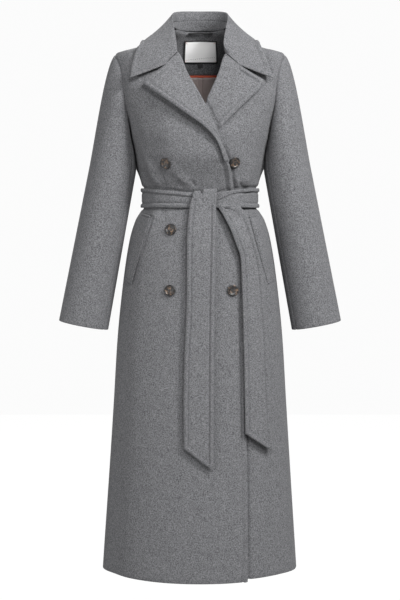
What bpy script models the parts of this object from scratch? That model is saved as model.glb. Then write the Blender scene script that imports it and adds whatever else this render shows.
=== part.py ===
"""A belted wool wrap coat, filled out as if worn: hollow cloth walls cut from one body form.

Metres, +Z up, the front faces -Y and +X is the wearer's left. The origin is at the middle of the neck,
level with the tops of the shoulders. A place on the coat is a turn round the body (0 at the front,
90 degrees at +X, 180 at the back) and a height, or on the fronts an x and a height.
"""

import math
from collections import namedtuple

import bmesh
import bpy
import numpy as np
from mathutils import Matrix, Vector

# Cloth and gaps
CLOTH = 0.0028
SEAM = 0.0003
SEAM_RADIUS = 0.15
LAP_GAP = 0.0012
ROLL_SEAM = 0.0008
LINING_GAP = 0.0022
LINING_CLOTH = 0.0010
FACING_CLOTH = 0.0016

# Heights of the body
HEM = -1.245
HEM_RISE = 0.006
HEM_RISE_FROM = -1.05
NECK = -0.0015
FRONT_NECK = -0.0090
ARMHOLE_TOP = -0.060
ARMHOLE_BOTTOM = -0.252
ARMHOLE_FRONT = 0.055
ARMHOLE_BACK = 0.060
WAIST_TOP = -0.3650
WAIST_BOTTOM = -0.4085

# Sleeves, as the wearer's left one
UPPER_ARM = (0.2005, 0.000, -0.3223)
CUFF = (0.2673, -0.020, -0.6763)
UPPER_ARM_HALF = (0.0535, 0.066)
CUFF_HALF = (0.0574, 0.047)
FRONT_SEAM = 150
BACK_SEAM = 255
SLEEVE_STEP = 15
SLEEVE_ROWS = 11
CAP_SHARE = 0.45
CAP_PULL = 0.6
CAP_LEAD = (0.32, 0.0, -0.75)
CAP_LEAD_TOP = (0.10, 0.0, 0.65)
CAP_LEAD_UNDER = (-0.55, 0.0, -0.20)
CAP_LEAD_FRONT = (0.0, -0.25, 0.0)
SLEEVE_LEAD = 0.0006

# Roll of the lapels and the collar
ROLL_SHARE = 0.34
NOTCH_SHARE = 0.60
GORGE_GAP = 0.009
COLLAR_FOLD = 0.0095
COLLAR_DROP = 0.006
COLLAR_CLEAR = 0.0035
COLLAR_CLEAR_SHARES = (0.25, 0.40)
COLLAR_CLEAR_HEIGHTS = (0.002, -0.006)
CREST_SHARE = 0.3
INSIDE_LEAN = 0.001
LEAF_SHARES = (0.28, 0.60)
LEAF_CROWN = -0.002

# Belt
BELT_CLOTH = 0.0035
BELT_GAP = 0.0012
BELT_ENDS = (9, 354)
BELT_DIP = (0.0125, 0.0180)
BELT_DIP_TURN = (32, 26)

# Buttons
BUTTON_RADIUS = 0.0128
BUTTON_THICK = 0.0044
BUTTON_GAP = 0.0006
BUTTON_STEPS = 18

# A button's turned outline, from the middle of its top over the rim to the middle of its back, as shares
ButtonPoint = namedtuple("ButtonPoint", "radius thickness")
BUTTON_OUTLINE = [
    ButtonPoint(0.0, 0.62),
    ButtonPoint(0.62, 0.62),
    ButtonPoint(0.74, 1.0),
    ButtonPoint(0.90, 1.0),
    ButtonPoint(1.0, 0.62),
    ButtonPoint(0.97, 0.30),
    ButtonPoint(0.72, 0.0),
    ButtonPoint(0.0, 0.0),
]

# The body form, one row for each level, from the hem up
Section = namedtuple("Section", "height half_width front_depth back_depth fullness")
SECTIONS = [
    Section(-1.243, 0.2245, 0.154, 0.155, 2.1),
    Section(-1.090, 0.2145, 0.146, 0.149, 2.1),
    Section(-0.854, 0.1995, 0.134, 0.138, 2.2),
    Section(-0.714, 0.1910, 0.128, 0.133, 2.2),
    Section(-0.575, 0.1765, 0.121, 0.128, 2.2),
    Section(-0.483, 0.1620, 0.114, 0.115, 2.2),
    Section(-0.437, 0.1480, 0.106, 0.103, 2.2),
    Section(-0.414, 0.1345, 0.101, 0.095, 2.2),
    Section(-0.400, 0.1292, 0.099, 0.092, 2.2),
    Section(-0.373, 0.1292, 0.099, 0.092, 2.2),
    Section(-0.360, 0.1330, 0.103, 0.094, 2.2),
    Section(-0.345, 0.1365, 0.109, 0.096, 2.2),
    Section(-0.310, 0.1440, 0.121, 0.101, 2.2),
    Section(-0.280, 0.1495, 0.127, 0.106, 2.2),
    Section(-0.250, 0.1575, 0.127, 0.109, 2.3),
    Section(-0.220, 0.1680, 0.122, 0.111, 2.3),
    Section(-0.160, 0.1870, 0.108, 0.110, 2.4),
    Section(-0.100, 0.1965, 0.087, 0.103, 2.4),
    Section(-0.070, 0.1970, 0.072, 0.097, 2.4),
    Section(-0.058, 0.1905, 0.067, 0.094, 2.3),
    Section(-0.048, 0.1575, 0.064, 0.091, 2.2),
    Section(-0.040, 0.1300, 0.062, 0.089, 2.2),
    Section(-0.020, 0.0900, 0.056, 0.083, 2.1),
    Section(0.000, 0.0575, 0.050, 0.075, 2.0),
    Section(0.012, 0.0340, 0.046, 0.068, 2.0),
]

# The largest folds: where each is deepest, how far it spreads up, down and round, and its depth
Fold = namedtuple("Fold", "turn height above below spread depth drift")
FOLDS = [
    Fold(-42, -0.345, 0.085, 0.018, 7, 0.0055, -230),
    Fold(-14, -0.345, 0.045, 0.018, 6, 0.0040, -320),
    Fold(46, -0.345, 0.070, 0.018, 8, 0.0045, 60),
    Fold(-41, -0.430, 0.018, 0.060, 6, 0.0050, 70),
    Fold(48, -0.430, 0.018, 0.100, 7, 0.0055, -130),
    Fold(-74, -1.243, 0.420, 0.100, 11, 0.0060, 0),
    Fold(68, -1.243, 0.480, 0.100, 12, 0.0060, 0),
    Fold(128, -1.243, 0.560, 0.100, 15, 0.0090, 0),
    Fold(168, -1.243, 0.500, 0.100, 13, 0.0070, 0),
    Fold(212, -1.243, 0.600, 0.100, 15, 0.0090, 0),
    Fold(248, -1.243, 0.460, 0.100, 12, 0.0070, 0),
    Fold(130, -0.350, 0.080, 0.018, 10, 0.0050, 40),
    Fold(178, -0.350, 0.070, 0.018, 10, 0.0045, 0),
    Fold(226, -0.350, 0.080, 0.018, 10, 0.0050, -40),
    Fold(150, -0.430, 0.018, 0.120, 11, 0.0050, 0),
    Fold(204, -0.430, 0.018, 0.110, 11, 0.0050, 0),
]

# Where the lapping front's edge, and above the break its roll, shows on the body
EdgePoint = namedtuple("EdgePoint", "height right left")
FRONT_EDGE = [
    EdgePoint(-1.2480, 0.1050, -0.1050),
    EdgePoint(-1.0600, 0.1040, -0.1040),
    EdgePoint(-0.9000, 0.1010, -0.1010),
    EdgePoint(-0.6000, 0.0990, -0.0990),
    EdgePoint(-0.4500, 0.0930, -0.0900),
    EdgePoint(-0.3900, 0.0760, -0.0760),
    EdgePoint(-0.3680, 0.0726, -0.0720),
    EdgePoint(-0.3187, 0.0663, -0.0555),
    EdgePoint(-0.2803, 0.0521, -0.0380),
    EdgePoint(-0.2294, 0.0325, -0.0145),
    EdgePoint(-0.1800, 0.0088, 0.0088),
    EdgePoint(-0.1135, -0.0277, 0.0396),
    EdgePoint(-0.0708, -0.0463, 0.0546),
    EdgePoint(-0.0640, -0.0600, 0.0645),
    EdgePoint(-0.0450, -0.0600, 0.0645),
    EdgePoint(-0.0200, -0.0600, 0.0610),
    EdgePoint(0.0000, -0.0590, 0.0595),
]

# How far the roll stands past the front's cut edge, and where it fades into the plain edge
ROLL_REACH = 0.0050
ROLL_FADE = (-0.335, -0.305)

# Turns and heights over which the lapping front rises over the other front, and over its lapel
LAP_START = (-62, -44)
LAPEL_RISE = 0.0056
LAPEL_RISE_TURNS = (-40, -20)
LAPEL_RISE_HEIGHTS = (-0.345, -0.290)
CHEST_FALL = 0.7
CHEST_FALL_HEIGHTS = (-0.16, -0.10)
BELT_FALL_TURNS = (42, 60)
BELT_FALL_SIDE = 85

# Lapels, one row for each station from the gorge down to the break
LapelRow = namedtuple("LapelRow", "roll_height edge_x edge_height roll_lift edge_lift")
LAPEL_RIGHT = [
    LapelRow(-0.0708, -0.1207, -0.1355, 0.0070, 0.0150),
    LapelRow(-0.0860, -0.1094, -0.1455, 0.0070, 0.0160),
    LapelRow(-0.1330, -0.0700, -0.1745, 0.0075, 0.0180),
    LapelRow(-0.1820, -0.0303, -0.2043, 0.0075, 0.0180),
    LapelRow(-0.2150, 0.0090, -0.2339, 0.0070, 0.0150),
    LapelRow(-0.2500, 0.0324, -0.2553, 0.0062, 0.0105),
    LapelRow(-0.2760, 0.0430, -0.2790, 0.0054, 0.0072),
    LapelRow(-0.3020, 0.0520, -0.3030, 0.0050, 0.0052),
]
LAPEL_LEFT = [
    LapelRow(-0.0708, 0.1374, -0.1299, 0.0070, 0.0150),
    LapelRow(-0.0860, 0.1275, -0.1460, 0.0070, 0.0145),
    LapelRow(-0.1330, 0.0935, -0.1800, 0.0060, 0.0115),
    LapelRow(-0.1720, 0.0605, -0.2135, 0.0048, 0.0072),
    LapelRow(-0.2000, 0.0373, -0.2382, 0.0045, 0.0048),
    LapelRow(-0.2350, 0.0080, -0.2620, 0.0042, 0.0044),
    LapelRow(-0.2750, -0.0180, -0.2800, 0.0040, 0.0040),
]
GORGE_SAG = 0.0045

# Collar, one row for each station from the gorge round to the centre back, as the wearer's left half
CollarRow = namedtuple("CollarRow", "crest_x crest_y crest_z inside edge_turn edge_height edge_out neck_turn")
COLLAR = [
    CollarRow(0.0510, -0.066, -0.040, 0.008, 44, -0.0820, 0.010, 52),
    CollarRow(0.0560, -0.036, -0.004, 0.012, 52, -0.0500, 0.009, 70),
    CollarRow(0.0600, 0.004, 0.029, 0.018, 84, -0.0400, 0.007, 88),
    CollarRow(0.0480, 0.048, 0.043, 0.021, 136, -0.0470, 0.007, 132),
    CollarRow(0.0000, 0.068, 0.0465, 0.021, 180, -0.0560, 0.007, 180),
]
COLLAR_POINT_RIGHT = (-0.1505, -0.1190)
COLLAR_POINT_LEFT = (0.1573, -0.1175)
COLLAR_POINT_OUT = 0.018
NECK_AXIS_Y = 0.010

# Belt ends, one row for each station from the waist down: both edges and how far out the face lies
TailRow = namedtuple("TailRow", "left_x left_height right_x right_height out")
TAIL_OVER = [
    TailRow(-0.0145, -0.3730, 0.0325, -0.3715, 0.0055),
    TailRow(-0.0145, -0.3690, 0.0328, -0.3675, 0.0074),
    TailRow(-0.0145, -0.3672, 0.0332, -0.3657, 0.0125),
    TailRow(-0.0147, -0.3695, 0.0334, -0.3680, 0.0170),
    TailRow(-0.0153, -0.3770, 0.0330, -0.3755, 0.0186),
    TailRow(-0.0190, -0.4000, 0.0317, -0.4000, 0.0185),
    TailRow(-0.0232, -0.4350, 0.0316, -0.4350, 0.0180),
    TailRow(-0.0259, -0.4797, 0.0316, -0.4797, 0.0170),
    TailRow(-0.0270, -0.6119, 0.0292, -0.6119, 0.0160),
    TailRow(-0.0318, -0.7350, 0.0283, -0.7350, 0.0150),
    TailRow(-0.0341, -0.8500, 0.0277, -0.8700, 0.0150),
    TailRow(-0.0339, -0.9413, 0.0275, -0.9895, 0.0150),
]
TAIL_UNDER = [
    TailRow(0.0417, -0.4120, 0.0826, -0.4105, 0.0130),
    TailRow(0.0520, -0.4330, 0.0945, -0.4340, 0.0185),
    TailRow(0.0627, -0.4555, 0.1035, -0.4580, 0.0200),
    TailRow(0.0760, -0.4900, 0.1140, -0.4930, 0.0200),
    TailRow(0.0867, -0.5264, 0.1235, -0.5292, 0.0190),
    TailRow(0.0895, -0.5795, 0.1307, -0.5805, 0.0180),
    TailRow(0.0930, -0.6792, 0.1389, -0.6809, 0.0175),
    TailRow(0.0960, -0.8100, 0.1460, -0.8250, 0.0170),
    TailRow(0.0976, -0.9104, 0.1527, -0.9530, 0.0170),
]

# Pocket welts: the four corners on the wearer's right front
WELT_TOP = ((-0.1279, -0.4233), (-0.1078, -0.4305))
WELT_BOTTOM = ((-0.1690, -0.5710), (-0.1540, -0.5806))
WELT_CLOTH = 0.0026
WELT_GAP = 0.0022

# Buttons, in x and height, and the front that each is sewn to
Button = namedtuple("Button", "x height front")
BUTTONS = [
    Button(-0.0751, -0.3090, "right"),
    Button(0.0773, -0.3090, "left"),
    Button(-0.0650, -0.4567, "right"),
    Button(0.0790, -0.4558, "right"),
    Button(-0.0658, -0.5924, "right"),
    Button(0.0714, -0.5924, "right"),
]

# Inside of the back
FACING_BOTTOM = -0.0930
FACING_SAG = 0.0045
PIPING_DEEP = 0.0038
PIPING_CLOTH = 0.0024
LINING_BOTTOM = -0.340
INSIDE_HALF = 0.105
INSIDE_SHARE = 0.85
LABEL_SIZE = (0.081, 0.0535)
LABEL_CLOTH = 0.0007
LABEL_GAP = 0.0020
LABEL_TOP = -0.0165
LABEL_SHIFT = 0.0015
TAB_SIZE = (0.0125, 0.0088)
TAB_SHIFT = 0.0008
LOOP_SIZE = (0.064, 0.0045)
LOOP_HEIGHT = 0.0030
LOOP_CLOTH = 0.0014
LOOP_BOW = 0.0025

# Levels of the rows of points down the body, and between which the folds fade out
FOLDS_END = (-0.26, -0.20)
SKIRT_LEVELS = (HEM, -1.08, -0.92, -0.77, -0.65, -0.56, -0.50, -0.455, -0.425, -0.405)
BODICE_LEVELS = (-0.386, -0.368, -0.348, -0.325, -0.302, -0.278)
SHOULDER_LEVELS = (-0.042, -0.022)
ARMHOLE_ROWS = 180 // SLEEVE_STEP

# Finishes, as linear colours
WOOL = (0.17, 0.17, 0.18)
WOOL_INSIDE = (0.13, 0.13, 0.14)
PIPING_RED = (0.42, 0.075, 0.03)
LINING_TAUPE = (0.22, 0.18, 0.17)
LABEL_WHITE = (0.85, 0.84, 0.83)
TAB_BLACK = (0.02, 0.02, 0.02)
LOOP_CHARCOAL = (0.05, 0.05, 0.055)
BUTTON_BROWN = (0.10, 0.07, 0.05)
WOOL_ROUGHNESS = 0.9
SATIN_ROUGHNESS = 0.45
LABEL_ROUGHNESS = 0.6
BUTTON_ROUGHNESS = 0.35


def columns_of(table):
    """Each named column of a table, as an array."""
    return {name: np.array([getattr(row, name) for row in table], float) for name in table[0]._fields}


def eased(knots, values, at):
    """A smooth curve through a table's values, with no overshoot between rows and straight past the ends."""
    at = np.asarray(at, float)
    slopes = np.diff(values) / np.diff(knots)
    turning = slopes[:-1] * slopes[1:] <= 0
    mean = 2 * slopes[:-1] * slopes[1:] / np.where(turning, 1.0, slopes[:-1] + slopes[1:])
    tangents = np.concatenate([slopes[:1], np.where(turning, 0.0, mean), slopes[-1:]])
    i = np.clip(np.searchsorted(knots, at) - 1, 0, len(knots) - 2)
    span = knots[i + 1] - knots[i]
    f = (at - knots[i]) / span
    curve = (
        (2 * f**3 - 3 * f**2 + 1) * values[i]
        + (f**3 - 2 * f**2 + f) * span * tangents[i]
        + (3 * f**2 - 2 * f**3) * values[i + 1]
        + (f**3 - f**2) * span * tangents[i + 1]
    )
    below = values[0] + tangents[0] * (at - knots[0])
    above = values[-1] + tangents[-1] * (at - knots[-1])
    return np.where(at < knots[0], below, np.where(at > knots[-1], above, curve))


def ramp(at, start, end):
    """0 before start, 1 after end, with no corner between."""
    f = np.clip((at - start) / (end - start), 0.0, 1.0)
    return f * f * (3 - 2 * f)


SECTION = columns_of(SECTIONS)
EDGE = columns_of(FRONT_EDGE)


def section(name, height):
    return eased(SECTION["height"], SECTION[name], height)


def form(turn, height):
    """Points of the smooth body form."""
    power = 2 / section("fullness", height)
    sine, cosine = np.sin(turn), np.cos(turn)
    depth = np.where(cosine > 0, section("front_depth", height), section("back_depth", height))
    x = section("half_width", height) * np.sign(sine) * np.abs(sine) ** power
    y = -depth * np.sign(cosine) * np.abs(cosine) ** power
    return np.stack([x, y, height + 0 * turn], axis=-1)


def folds(turn, height):
    """How far the large folds lift the cloth."""
    lift = 0.0 * turn
    for fold in FOLDS:
        centre = np.radians(fold.turn + fold.drift * (height - fold.height))
        away = np.angle(np.exp(1j * (turn - centre))) / np.radians(fold.spread)
        reach = np.where(height > fold.height, fold.above, fold.below)
        lift = lift + fold.depth * np.exp(-(away**2)) * np.exp(-2 * ((height - fold.height) / reach) ** 2)
    return lift * (1 - ramp(height, *FOLDS_END))


def on_form(turn, height, out=0.0):
    """Points on the folded body form, moved out along its normal."""
    turn, height = np.broadcast_arrays(np.asarray(turn, float), np.asarray(height, float))
    step = 1e-4
    across = form(turn + step, height) - form(turn - step, height)
    along = form(turn, height + step) - form(turn, height - step)
    normal = np.cross(across, along)
    normal /= np.linalg.norm(normal, axis=-1, keepdims=True)
    return form(turn, height) + normal * (out + folds(turn, height))[..., None]


def turn_at(x, height):
    """The turn at which the front of the form has this x."""
    share = np.clip(np.abs(x) / section("half_width", height), 0.0, 1.0)
    return np.arcsin(np.sign(x) * share ** (section("fullness", height) / 2))


def lap(turn, height):
    """How far the lapping front stands off the form: over the other front, and over its lapel."""
    over_front = ramp(turn, *np.radians(LAP_START)) * (CLOTH + LAP_GAP)
    beside_lapel = ramp(turn, *np.radians(LAPEL_RISE_TURNS))
    chest = 1 - CHEST_FALL * ramp(height, *CHEST_FALL_HEIGHTS)
    return over_front + LAPEL_RISE * beside_lapel * chest * ramp(height, *LAPEL_RISE_HEIGHTS)


def front_out(front, turn, height):
    return lap(turn, height) if front == "right" else 0.0 * turn


def front_edge(front, height):
    """x of a front's cut edge, which lies inside the roll above the break."""
    inwards = -1 if front == "right" else 1
    shown = eased(EDGE["height"], EDGE[front], height)
    return shown + inwards * ROLL_REACH * ramp(height, *ROLL_FADE)


def armhole_turn(height, half_depth, depth_name):
    """The armhole's edge at a height, as a turn from the middle of the front or of the back."""
    middle = (ARMHOLE_TOP + ARMHOLE_BOTTOM) / 2
    rise = np.clip((height - middle) / (ARMHOLE_TOP - middle), -1.0, 1.0)
    reach = half_depth * np.sqrt(1 - rise**2) / section(depth_name, height)
    return np.arccos(reach ** (section("fullness", height) / 2))


def body_levels(top):
    """Levels of a panel's rows: the skirt and bodice, even steps round the armhole, then up to its top."""
    middle = (ARMHOLE_TOP + ARMHOLE_BOTTOM) / 2
    half = (ARMHOLE_TOP - ARMHOLE_BOTTOM) / 2
    armhole_levels = [
        middle - half * math.cos(math.pi * k / ARMHOLE_ROWS) for k in range(ARMHOLE_ROWS + 1)
    ]
    return np.array([*SKIRT_LEVELS, *BODICE_LEVELS, *armhole_levels, *SHOULDER_LEVELS, top])


def finish(name, colour, roughness):
    material = bpy.data.materials.new(name + "_finish")
    material.use_nodes = True
    shader = material.node_tree.nodes["Principled BSDF"]
    shader.inputs["Base Color"].default_value = (*colour, 1.0)
    shader.inputs["Roughness"].default_value = roughness
    shader.inputs["Metallic"].default_value = 0.0
    return material


def wall(name, shape, columns, rows, thickness, colour=WOOL, roughness=WOOL_ROUGHNESS):
    """A closed cloth wall. shape(across, along) gives its face, and its back lies thickness behind that."""
    mesh = bmesh.new()
    bmesh.ops.create_grid(mesh, x_segments=columns, y_segments=rows, size=1.0)
    made = bmesh.ops.extrude_face_region(mesh, geom=mesh.faces[:], use_keep_orig=True)
    backs = {vertex for vertex in made["geom"] if isinstance(vertex, bmesh.types.BMVert)}
    vertices = list(mesh.verts)
    across = np.array([(vertex.co.x + 1) / 2 for vertex in vertices])
    along = np.array([(vertex.co.y + 1) / 2 for vertex in vertices])
    behind = np.array([vertex in backs for vertex in vertices], float)
    step = 1e-4
    normal = np.cross(
        shape(across + step, along) - shape(across - step, along),
        shape(across, along + step) - shape(across, along - step),
    )
    normal /= np.linalg.norm(normal, axis=1, keepdims=True)
    for vertex, place in zip(vertices, shape(across, along) - normal * (behind * thickness)[:, None]):
        vertex.co = place
    bmesh.ops.recalc_face_normals(mesh, faces=mesh.faces[:])
    if mesh.calc_volume(signed=True) < 0:
        bmesh.ops.reverse_faces(mesh, faces=mesh.faces[:])
    data = bpy.data.meshes.new(name)
    mesh.to_mesh(data)
    mesh.free()
    data.shade_smooth()
    data.materials.append(finish(name, colour, roughness))
    piece = bpy.data.objects.new(name, data)
    COAT.objects.link(piece)
    return piece


def panel(levels, start, end, out):
    """The shape of a panel that runs from one turn to another at each level."""
    counts = np.arange(len(levels))

    def shape(across, along):
        height = np.interp(along * counts[-1], counts, levels)
        first = start(height)
        turn = first + (end(height) - first) * across
        height = height + HEM_RISE * np.sin(turn) ** 2 * ramp(height, HEM_RISE_FROM, HEM)
        return on_form(turn, height, out(turn, height))

    return shape


def make_fronts_and_back():
    levels, back_levels = body_levels(FRONT_NECK), body_levels(NECK)
    rows = len(levels) - 1
    half_gap = SEAM / 2 / SEAM_RADIUS

    def front_armhole(height):
        return armhole_turn(height, ARMHOLE_FRONT, "front_depth") - half_gap

    def back_armhole(height):
        return math.pi - armhole_turn(height, ARMHOLE_BACK, "back_depth") + half_gap

    def right_edge(height):
        return turn_at(front_edge("right", height), height)

    def left_edge(height):
        return turn_at(front_edge("left", height), height)

    wall("front_right", panel(levels, lambda h: -front_armhole(h), right_edge, lap), 13, rows, CLOTH)
    wall("front_left", panel(levels, left_edge, front_armhole, lambda t, h: 0 * t), 13, rows, CLOTH)
    back = panel(back_levels, back_armhole, lambda h: 2 * math.pi - back_armhole(h), lambda t, h: 0 * t)
    wall("back", back, 16, rows, CLOTH)


def armhole(angle):
    """The edge that a sleeve is sewn to: 0 at the shoulder, 90 degrees at the front, 180 under the arm."""
    middle = (ARMHOLE_TOP + ARMHOLE_BOTTOM) / 2
    height = middle + (ARMHOLE_TOP - middle) * np.cos(angle)
    forward = np.sin(angle) > 0
    half_depth = np.where(forward, ARMHOLE_FRONT, ARMHOLE_BACK)
    depth = np.where(forward, section("front_depth", height), section("back_depth", height))
    fullness = section("fullness", height)
    share = np.abs(half_depth * np.sin(angle) / depth) ** fullness
    x = section("half_width", height) * (1 - share) ** (1 / fullness) + SLEEVE_LEAD
    return np.stack([x, -half_depth * np.sin(angle), height], axis=-1)


def sleeve(side, start, end):
    """The shape of a sleeve piece between two angles round the arm, from the armhole down to the cuff."""
    upper, cuff = np.array(UPPER_ARM), np.array(CUFF)
    axis = (cuff - upper) / np.linalg.norm(cuff - upper)
    outwards = np.array([-axis[2], 0.0, axis[0]])
    outwards /= np.linalg.norm(outwards)
    forwards = np.array([0.0, -1.0, 0.0])

    def ring(angle, down):
        half = np.array(UPPER_ARM_HALF) + np.multiply.outer(down, np.subtract(CUFF_HALF, UPPER_ARM_HALF))
        centre = upper + np.multiply.outer(down, cuff - upper)
        wide = (half[:, 0] * np.cos(angle))[:, None] * outwards
        deep = (half[:, 1] * np.sin(angle))[:, None] * forwards
        return centre + wide + deep

    def shape(across, along):
        angle = np.radians(start + (end - start) * across)
        seam = armhole(angle)
        top = ring(angle, 0 * angle)
        reach = np.linalg.norm(top - seam, axis=1, keepdims=True)
        over, under = np.clip(np.cos(angle), 0.0, None), np.clip(-np.cos(angle), 0.0, None)
        lead = CAP_LEAD + np.outer(over, CAP_LEAD_TOP) + np.outer(under, CAP_LEAD_UNDER)
        lead = lead + np.outer(np.sin(angle), CAP_LEAD_FRONT)
        f = np.clip(along / CAP_SHARE, 0.0, 1.0)[:, None]
        cap = (
            (2 * f**3 - 3 * f**2 + 1) * seam
            + (f**3 - 2 * f**2 + f) * lead * reach * CAP_PULL
            + (3 * f**2 - 2 * f**3) * top
            + (f**3 - f**2) * axis * reach
        )
        below = ring(angle, (along - CAP_SHARE) / (1 - CAP_SHARE))
        points = np.where((along < CAP_SHARE)[:, None], cap, below)
        return points * np.array([side, 1, 1])

    return shape


def make_sleeves():
    gap = math.degrees(SEAM / 2 / UPPER_ARM_HALF[0])
    for side, wearer in ((-1, "right"), (1, "left")):
        for piece, start, end in (("top", BACK_SEAM - 360, FRONT_SEAM), ("under", FRONT_SEAM, BACK_SEAM)):
            columns = (end - start) // SLEEVE_STEP
            shape = sleeve(side, start + gap, end - gap)
            wall(f"{piece}_sleeve_{wearer}", shape, columns, SLEEVE_ROWS, side * CLOTH)


def lapel(front):
    """The shape of a lapel: round the roll from inside the front's edge, then flat over the front."""
    rows = columns_of(LAPEL_RIGHT if front == "right" else LAPEL_LEFT)
    stations = np.linspace(0, 1, len(rows["edge_x"]))

    def column(name, along):
        return eased(stations, rows[name], along)

    def shape(across, along):
        roll_height = column("roll_height", along)
        edge_gap = ROLL_SEAM if front == "right" else -ROLL_SEAM
        roll = np.stack([front_edge(front, roll_height) + edge_gap, roll_height], axis=1)
        edge = np.stack([column("edge_x", along), column("edge_height", along)], axis=1)
        width = np.linalg.norm(edge - roll, axis=1)
        flat = np.clip((across - ROLL_SHARE) / (1 - ROLL_SHARE), 0.0, None)
        bend = np.pi * np.clip(across / ROLL_SHARE, 0.0, 1.0)
        roll_lift = column("roll_lift", along)
        radius = (roll_lift + CLOTH) / 2
        inwards = flat - radius * np.sin(bend) / width
        place = roll + (edge - roll) * inwards[:, None]
        place[:, 1] -= GORGE_SAG * (1 - np.clip(along, 0, 1)) ** 4 * 4 * flat * (1 - flat)
        turn = turn_at(place[:, 0], place[:, 1])
        lift = roll_lift + (column("edge_lift", along) - roll_lift) * ramp(flat, 0, 1)
        lift = lift - radius * (1 + np.cos(bend))
        return on_form(turn, place[:, 1], front_out(front, turn, place[:, 1]) + lift)

    return shape


def make_lapels():
    wall("lapel_right", lapel("right"), 10, 12, CLOTH - SEAM)
    wall("lapel_left", lapel("left"), 10, 10, SEAM - CLOTH)


def collar_guides():
    """Points that the collar passes through: at each station, from inside over the crest to the edge."""
    half = []
    inner_places = []
    for row in COLLAR:
        crest = np.array([row.crest_x, row.crest_y, row.crest_z])
        away = np.array([row.crest_x, row.crest_y - NECK_AXIS_Y, 0.0])
        away /= np.linalg.norm(away)
        down = np.array([0.0, 0.0, -1.0])
        inside = crest + away * INSIDE_LEAN + down * row.inside
        over = crest + away * COLLAR_FOLD + down * COLLAR_DROP
        edge = on_form(np.radians(row.edge_turn), row.edge_height, row.edge_out)
        near, far = (over + (edge - over) * share + away * LEAF_CROWN for share in LEAF_SHARES)
        half.append([inside, crest + away * COLLAR_FOLD * CREST_SHARE, over, near, far, edge])
        inner_places.append(on_form(np.radians(row.neck_turn), 0.001, 0.0))
    half = np.array(half)
    mirror = np.array([-1.0, 1.0, 1.0])
    ends = {}
    for front, point in (("right", COLLAR_POINT_RIGHT), ("left", COLLAR_POINT_LEFT)):
        shares = np.array([0.0, ROLL_SHARE / 2, ROLL_SHARE, (ROLL_SHARE + NOTCH_SHARE) / 2, NOTCH_SHARE])
        gorge = lapel(front)(shares, -GORGE_GAP * (1 + 3 * shares))
        tip_turn = turn_at(*point)
        tip = on_form(tip_turn, point[1], front_out(front, tip_turn, point[1]) + COLLAR_POINT_OUT)
        ends[front] = np.concatenate([gorge, tip[None]])
    guides = np.concatenate([ends["right"][None], half * mirror, half[-2::-1], ends["left"][None]])
    neck = np.array(inner_places)
    return guides, np.concatenate([neck * mirror, neck[-2::-1]])


def through(guides, at):
    """Smooth points along the first axis of an array of guide points."""
    count = len(guides)
    place = np.clip(at, 0.0, 1.0) * (count - 1)
    i = np.clip(np.floor(place).astype(int), 0, count - 2)
    f = (place - i).reshape(-1, *([1] * (guides.ndim - 1)))
    before, start = guides[np.maximum(i - 1, 0)], guides[i]
    end, after = guides[i + 1], guides[np.minimum(i + 2, count - 1)]
    return 0.5 * (
        2 * start
        + (end - before) * f
        + (2 * before - 5 * start + 4 * end - after) * f**2
        + (3 * start - before - 3 * end + after) * f**3
    )


def clear_of_body(points, share):
    """A share of the collar's points moved out, where need be, to lie clear over the fronts and the back."""
    x, y, height = points.T
    power = section("fullness", height) / 2
    depth = np.where(y < 0, section("front_depth", height), section("back_depth", height))
    wide = np.sign(x) * np.abs(x / section("half_width", height)) ** power
    deep = -np.sign(y) * np.abs(y / depth) ** power
    turn = np.arctan2(wide, deep)
    foot = on_form(turn, height)
    normal = on_form(turn, height, 1.0) - foot
    least = np.where(x < 0, lap(turn, height), 0.0) + CLOTH + COLLAR_CLEAR
    short = least - np.sum((points - foot) * normal, axis=1)
    return points + normal * (share * np.clip(short, 0.0, None))[:, None]


def make_collar():
    guides, neck = collar_guides()

    def fall(across, along):
        lines = through(guides, across)
        points = np.array([through(line, np.array([place]))[0] for line, place in zip(lines, along)])
        outside = ramp(along, *COLLAR_CLEAR_SHARES) * ramp(points[:, 2], *COLLAR_CLEAR_HEIGHTS)
        return clear_of_body(points, outside)

    def stand(across, along):
        top = through(guides[3:-3, 0], across) - np.array([0.0, 0.0, 2 * LAP_GAP])
        bottom = through(neck[2:-2], across)
        return bottom + (top - bottom) * along[:, None]

    wall("collar_fall", fall, 28, 9, CLOTH)
    wall("collar_stand", stand, 16, 2, CLOTH - SEAM, WOOL_INSIDE)


def tail(rows):
    """The shape of a belt end, across its width and down its length."""
    table = columns_of(rows)
    stations = np.linspace(0, 1, len(rows))

    def shape(across, along):
        column = {name: eased(stations, table[name], along) for name in table}
        x = column["left_x"] + (column["right_x"] - column["left_x"]) * across
        height = column["left_height"] + (column["right_height"] - column["left_height"]) * across
        turn = turn_at(x, height)
        return on_form(turn, height, column["out"])

    return shape


def belt_dip(turn):
    """How far the knot pulls the band's top edge down on either side of it."""
    away = np.degrees(np.angle(np.exp(1j * turn)))
    right, left = (dip * np.exp(-((away / reach) ** 2)) for dip, reach in zip(BELT_DIP, BELT_DIP_TURN))
    return np.where(away < 0, right, left)


def make_belt():
    start, end = np.radians(BELT_ENDS)

    def band(across, along):
        turn = start + (end - start) * across
        top = WAIST_TOP - belt_dip(turn)
        height = WAIST_BOTTOM + (top - WAIST_BOTTOM) * along
        signed = np.angle(np.exp(1j * turn))
        under = np.where(np.abs(signed) < math.radians(BELT_FALL_SIDE), lap(signed, WAIST_TOP), 0.0)
        under = np.where(signed > 0, under * (1 - ramp(signed, *np.radians(BELT_FALL_TURNS))), under)
        return on_form(turn, height, under + BELT_GAP + BELT_CLOTH)

    wall("belt_band", band, 48, 2, BELT_CLOTH)
    wall("belt_tail_over", tail(TAIL_OVER), 3, 22, -BELT_CLOTH)
    wall("belt_tail_under", tail(TAIL_UNDER), 3, 16, -BELT_CLOTH)


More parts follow.
